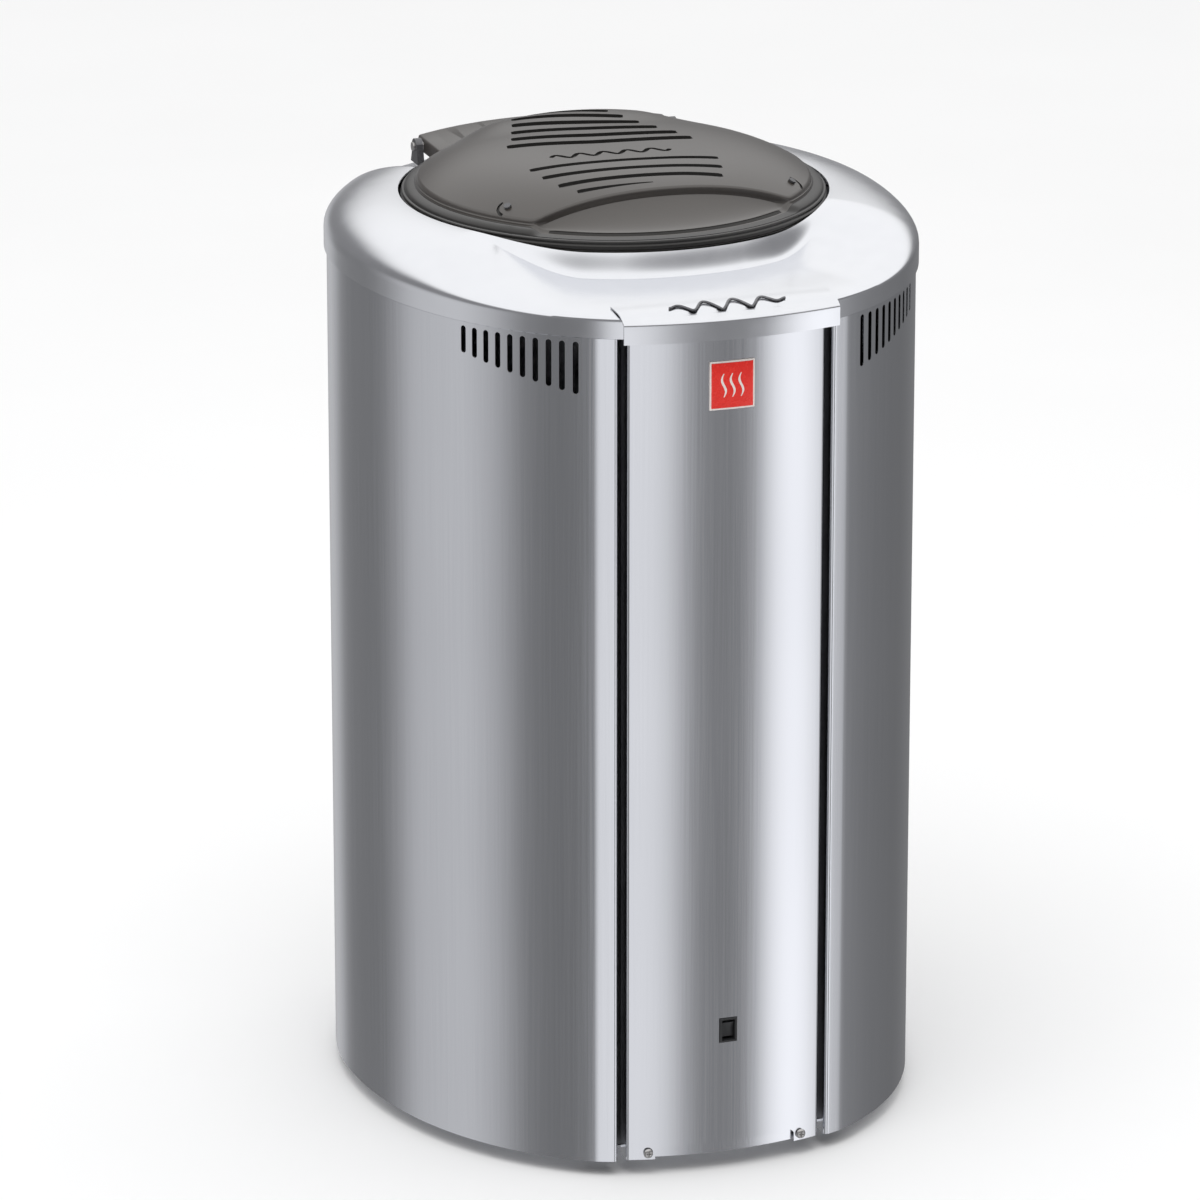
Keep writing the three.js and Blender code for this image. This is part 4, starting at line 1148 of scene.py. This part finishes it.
# ---- studio ----
# colours of the dome overhead and of the band between it and the low surroundings
WHITE_DOME = (1.12, 1.12, 1.12, 1)
MIDDLE_BAND = (0.24, 0.24, 0.24 * 1.03, 1)
# brightness of the surroundings at low level, by bearing from the front towards +X
LOW_BAND = [
    (-180, 0.62), (-170, 0.50), (-162, 0.22), (-140, 0.20), (-131, 0.34), (-122, 0.58),
    (-98, 0.66), (-84, 0.50), (-72, 0.24), (-60, 0.20), (-40, 0.20), (-36, 0.90), (-6, 0.98),
    (0, 0.80), (6, 0.34), (12, 0.24), (24, 0.24), (29, 0.34), (34, 1.05), (40, 1.32),
    (47, 1.32), (55, 0.85), (70, 0.36), (84, 0.24), (100, 0.20), (125, 0.17), (150, 0.22),
    (165, 0.45), (180, 0.62),
]
# sine of the elevation at which the white dome starts, by bearing: low behind, high in front
DOME_START = [
    (-180, 0.30), (-160, 0.44), (-120, 0.44), (-80, 0.48), (0, 0.55), (80, 0.45), (120, 0.22),
    (165, 0.20), (180, 0.30),
]


def make_world():
    world = bpy.data.worlds.new("studio")
    bpy.context.scene.world = world
    world.use_nodes = True
    tree = world.node_tree
    tree.nodes.clear()

    def add(kind, inputs=None, **properties):
        return add_node(tree, kind, inputs, **properties)

    def spread(value, low, high, interpolation="SMOOTHSTEP"):
        """0 to 1 as the value goes from low to high."""
        return add("ShaderNodeMapRange", {"Value": value, "From Min": low, "From Max": high},
                   interpolation_type=interpolation).outputs[0]

    def ramp(factor, stops):
        """Faintly blue grey by bearing."""
        return add_ramp(tree, factor, [
            ((bearing + 180) / 360, (level, level * 1.005, level * 1.03))
            for bearing, level in stops])

    direction = add("ShaderNodeTexCoord").outputs["Generated"]
    x, y, z = add("ShaderNodeSeparateXYZ", {0: direction}).outputs
    bearing = add_math(tree, "ARCTAN2", x, add_math(tree, "MULTIPLY", y, -1.0))
    turn = spread(bearing, -pi, pi, "LINEAR")
    low = ramp(turn, LOW_BAND)
    start = ramp(turn, DOME_START)
    dome = spread(add_math(tree, "SUBTRACT", z, start), -0.12, 0.14)
    sunk = spread(z, -0.10, 0.06)
    middle = add("ShaderNodeMix", {0: sunk, 6: low, 7: MIDDLE_BAND}, data_type="RGBA")
    room = add("ShaderNodeMix", {0: dome, 6: middle.outputs[2], 7: WHITE_DOME},
               data_type="RGBA")
    lit = add("ShaderNodeBackground", {"Color": room.outputs[2], "Strength": 1.0})
    plain = add("ShaderNodeBackground", {"Color": (1, 1, 1, 1), "Strength": 1.0})
    seen = add("ShaderNodeLightPath").outputs["Is Camera Ray"]
    both = add("ShaderNodeMixShader", {0: seen, 1: lit.outputs[0], 2: plain.outputs[0]})
    add("ShaderNodeOutputWorld", {"Surface": both.outputs[0]})


def make_stage():
    """Floor and one overhead lamp."""
    floor = bpy.data.meshes.new("floor")
    reach = 15.0
    signs = ((-1, -1), (1, -1), (1, 1), (-1, 1))
    floor.from_pydata([(x * reach, y * reach, 0) for x, y in signs], [], [(0, 1, 2, 3)])
    ground = put("floor", floor)
    shade = Shade("floor_paper", Specular_IOR_Level=0.1)
    shade.into("Base Color", shade.ramp(shade.noise((1.5,) * 3), [
        (0.3, (0.93, 0.93, 0.93)), (0.7, (0.95, 0.95, 0.95))]))
    shade.into("Roughness", shade.span(shade.noise((40.0,) * 3), 0.85, 0.95))
    ground.data.materials.append(shade.material)
    ground.visible_glossy = False

    light = bpy.data.lights.new("overhead", "AREA")
    light.shape = "DISK"
    light.size = 3.0
    light.energy = 45.0
    lamp = put("overhead", light)
    lamp.location = (-0.8, -1.2, 4.0)
    lamp.rotation_euler = Vector((0.8, 1.2, -3.4)).to_track_quat("-Z", "Y").to_euler()
    lamp.visible_glossy = False


def make_camera():
    """Long lens from the left of the front, as the photo was taken."""
    data = bpy.data.cameras.new("camera")
    data.lens = 221.7
    data.sensor_width = 36.0
    data.clip_end = 100.0
    camera = put("camera", data)
    camera.location = (-1.971, -5.664, 2.378)
    aim = Vector((-0.063, -0.109, 0.464))
    camera.rotation_euler = (aim - camera.location).to_track_quat("-Z", "Y").to_euler()
    bpy.context.scene.camera = camera


make_casing()
make_front_panel()
make_panel_screws()
make_base_plate()
make_badge()
make_switch()
make_collar()
make_visor()
make_ornament()
make_lid_cover()
make_lid_rim()
make_turned_pieces()
make_tank()
make_elements()
make_feet()
dress_cad()
make_world()
make_stage()
make_camera()
bpy.context.scene.view_settings.view_transform = "Standard"
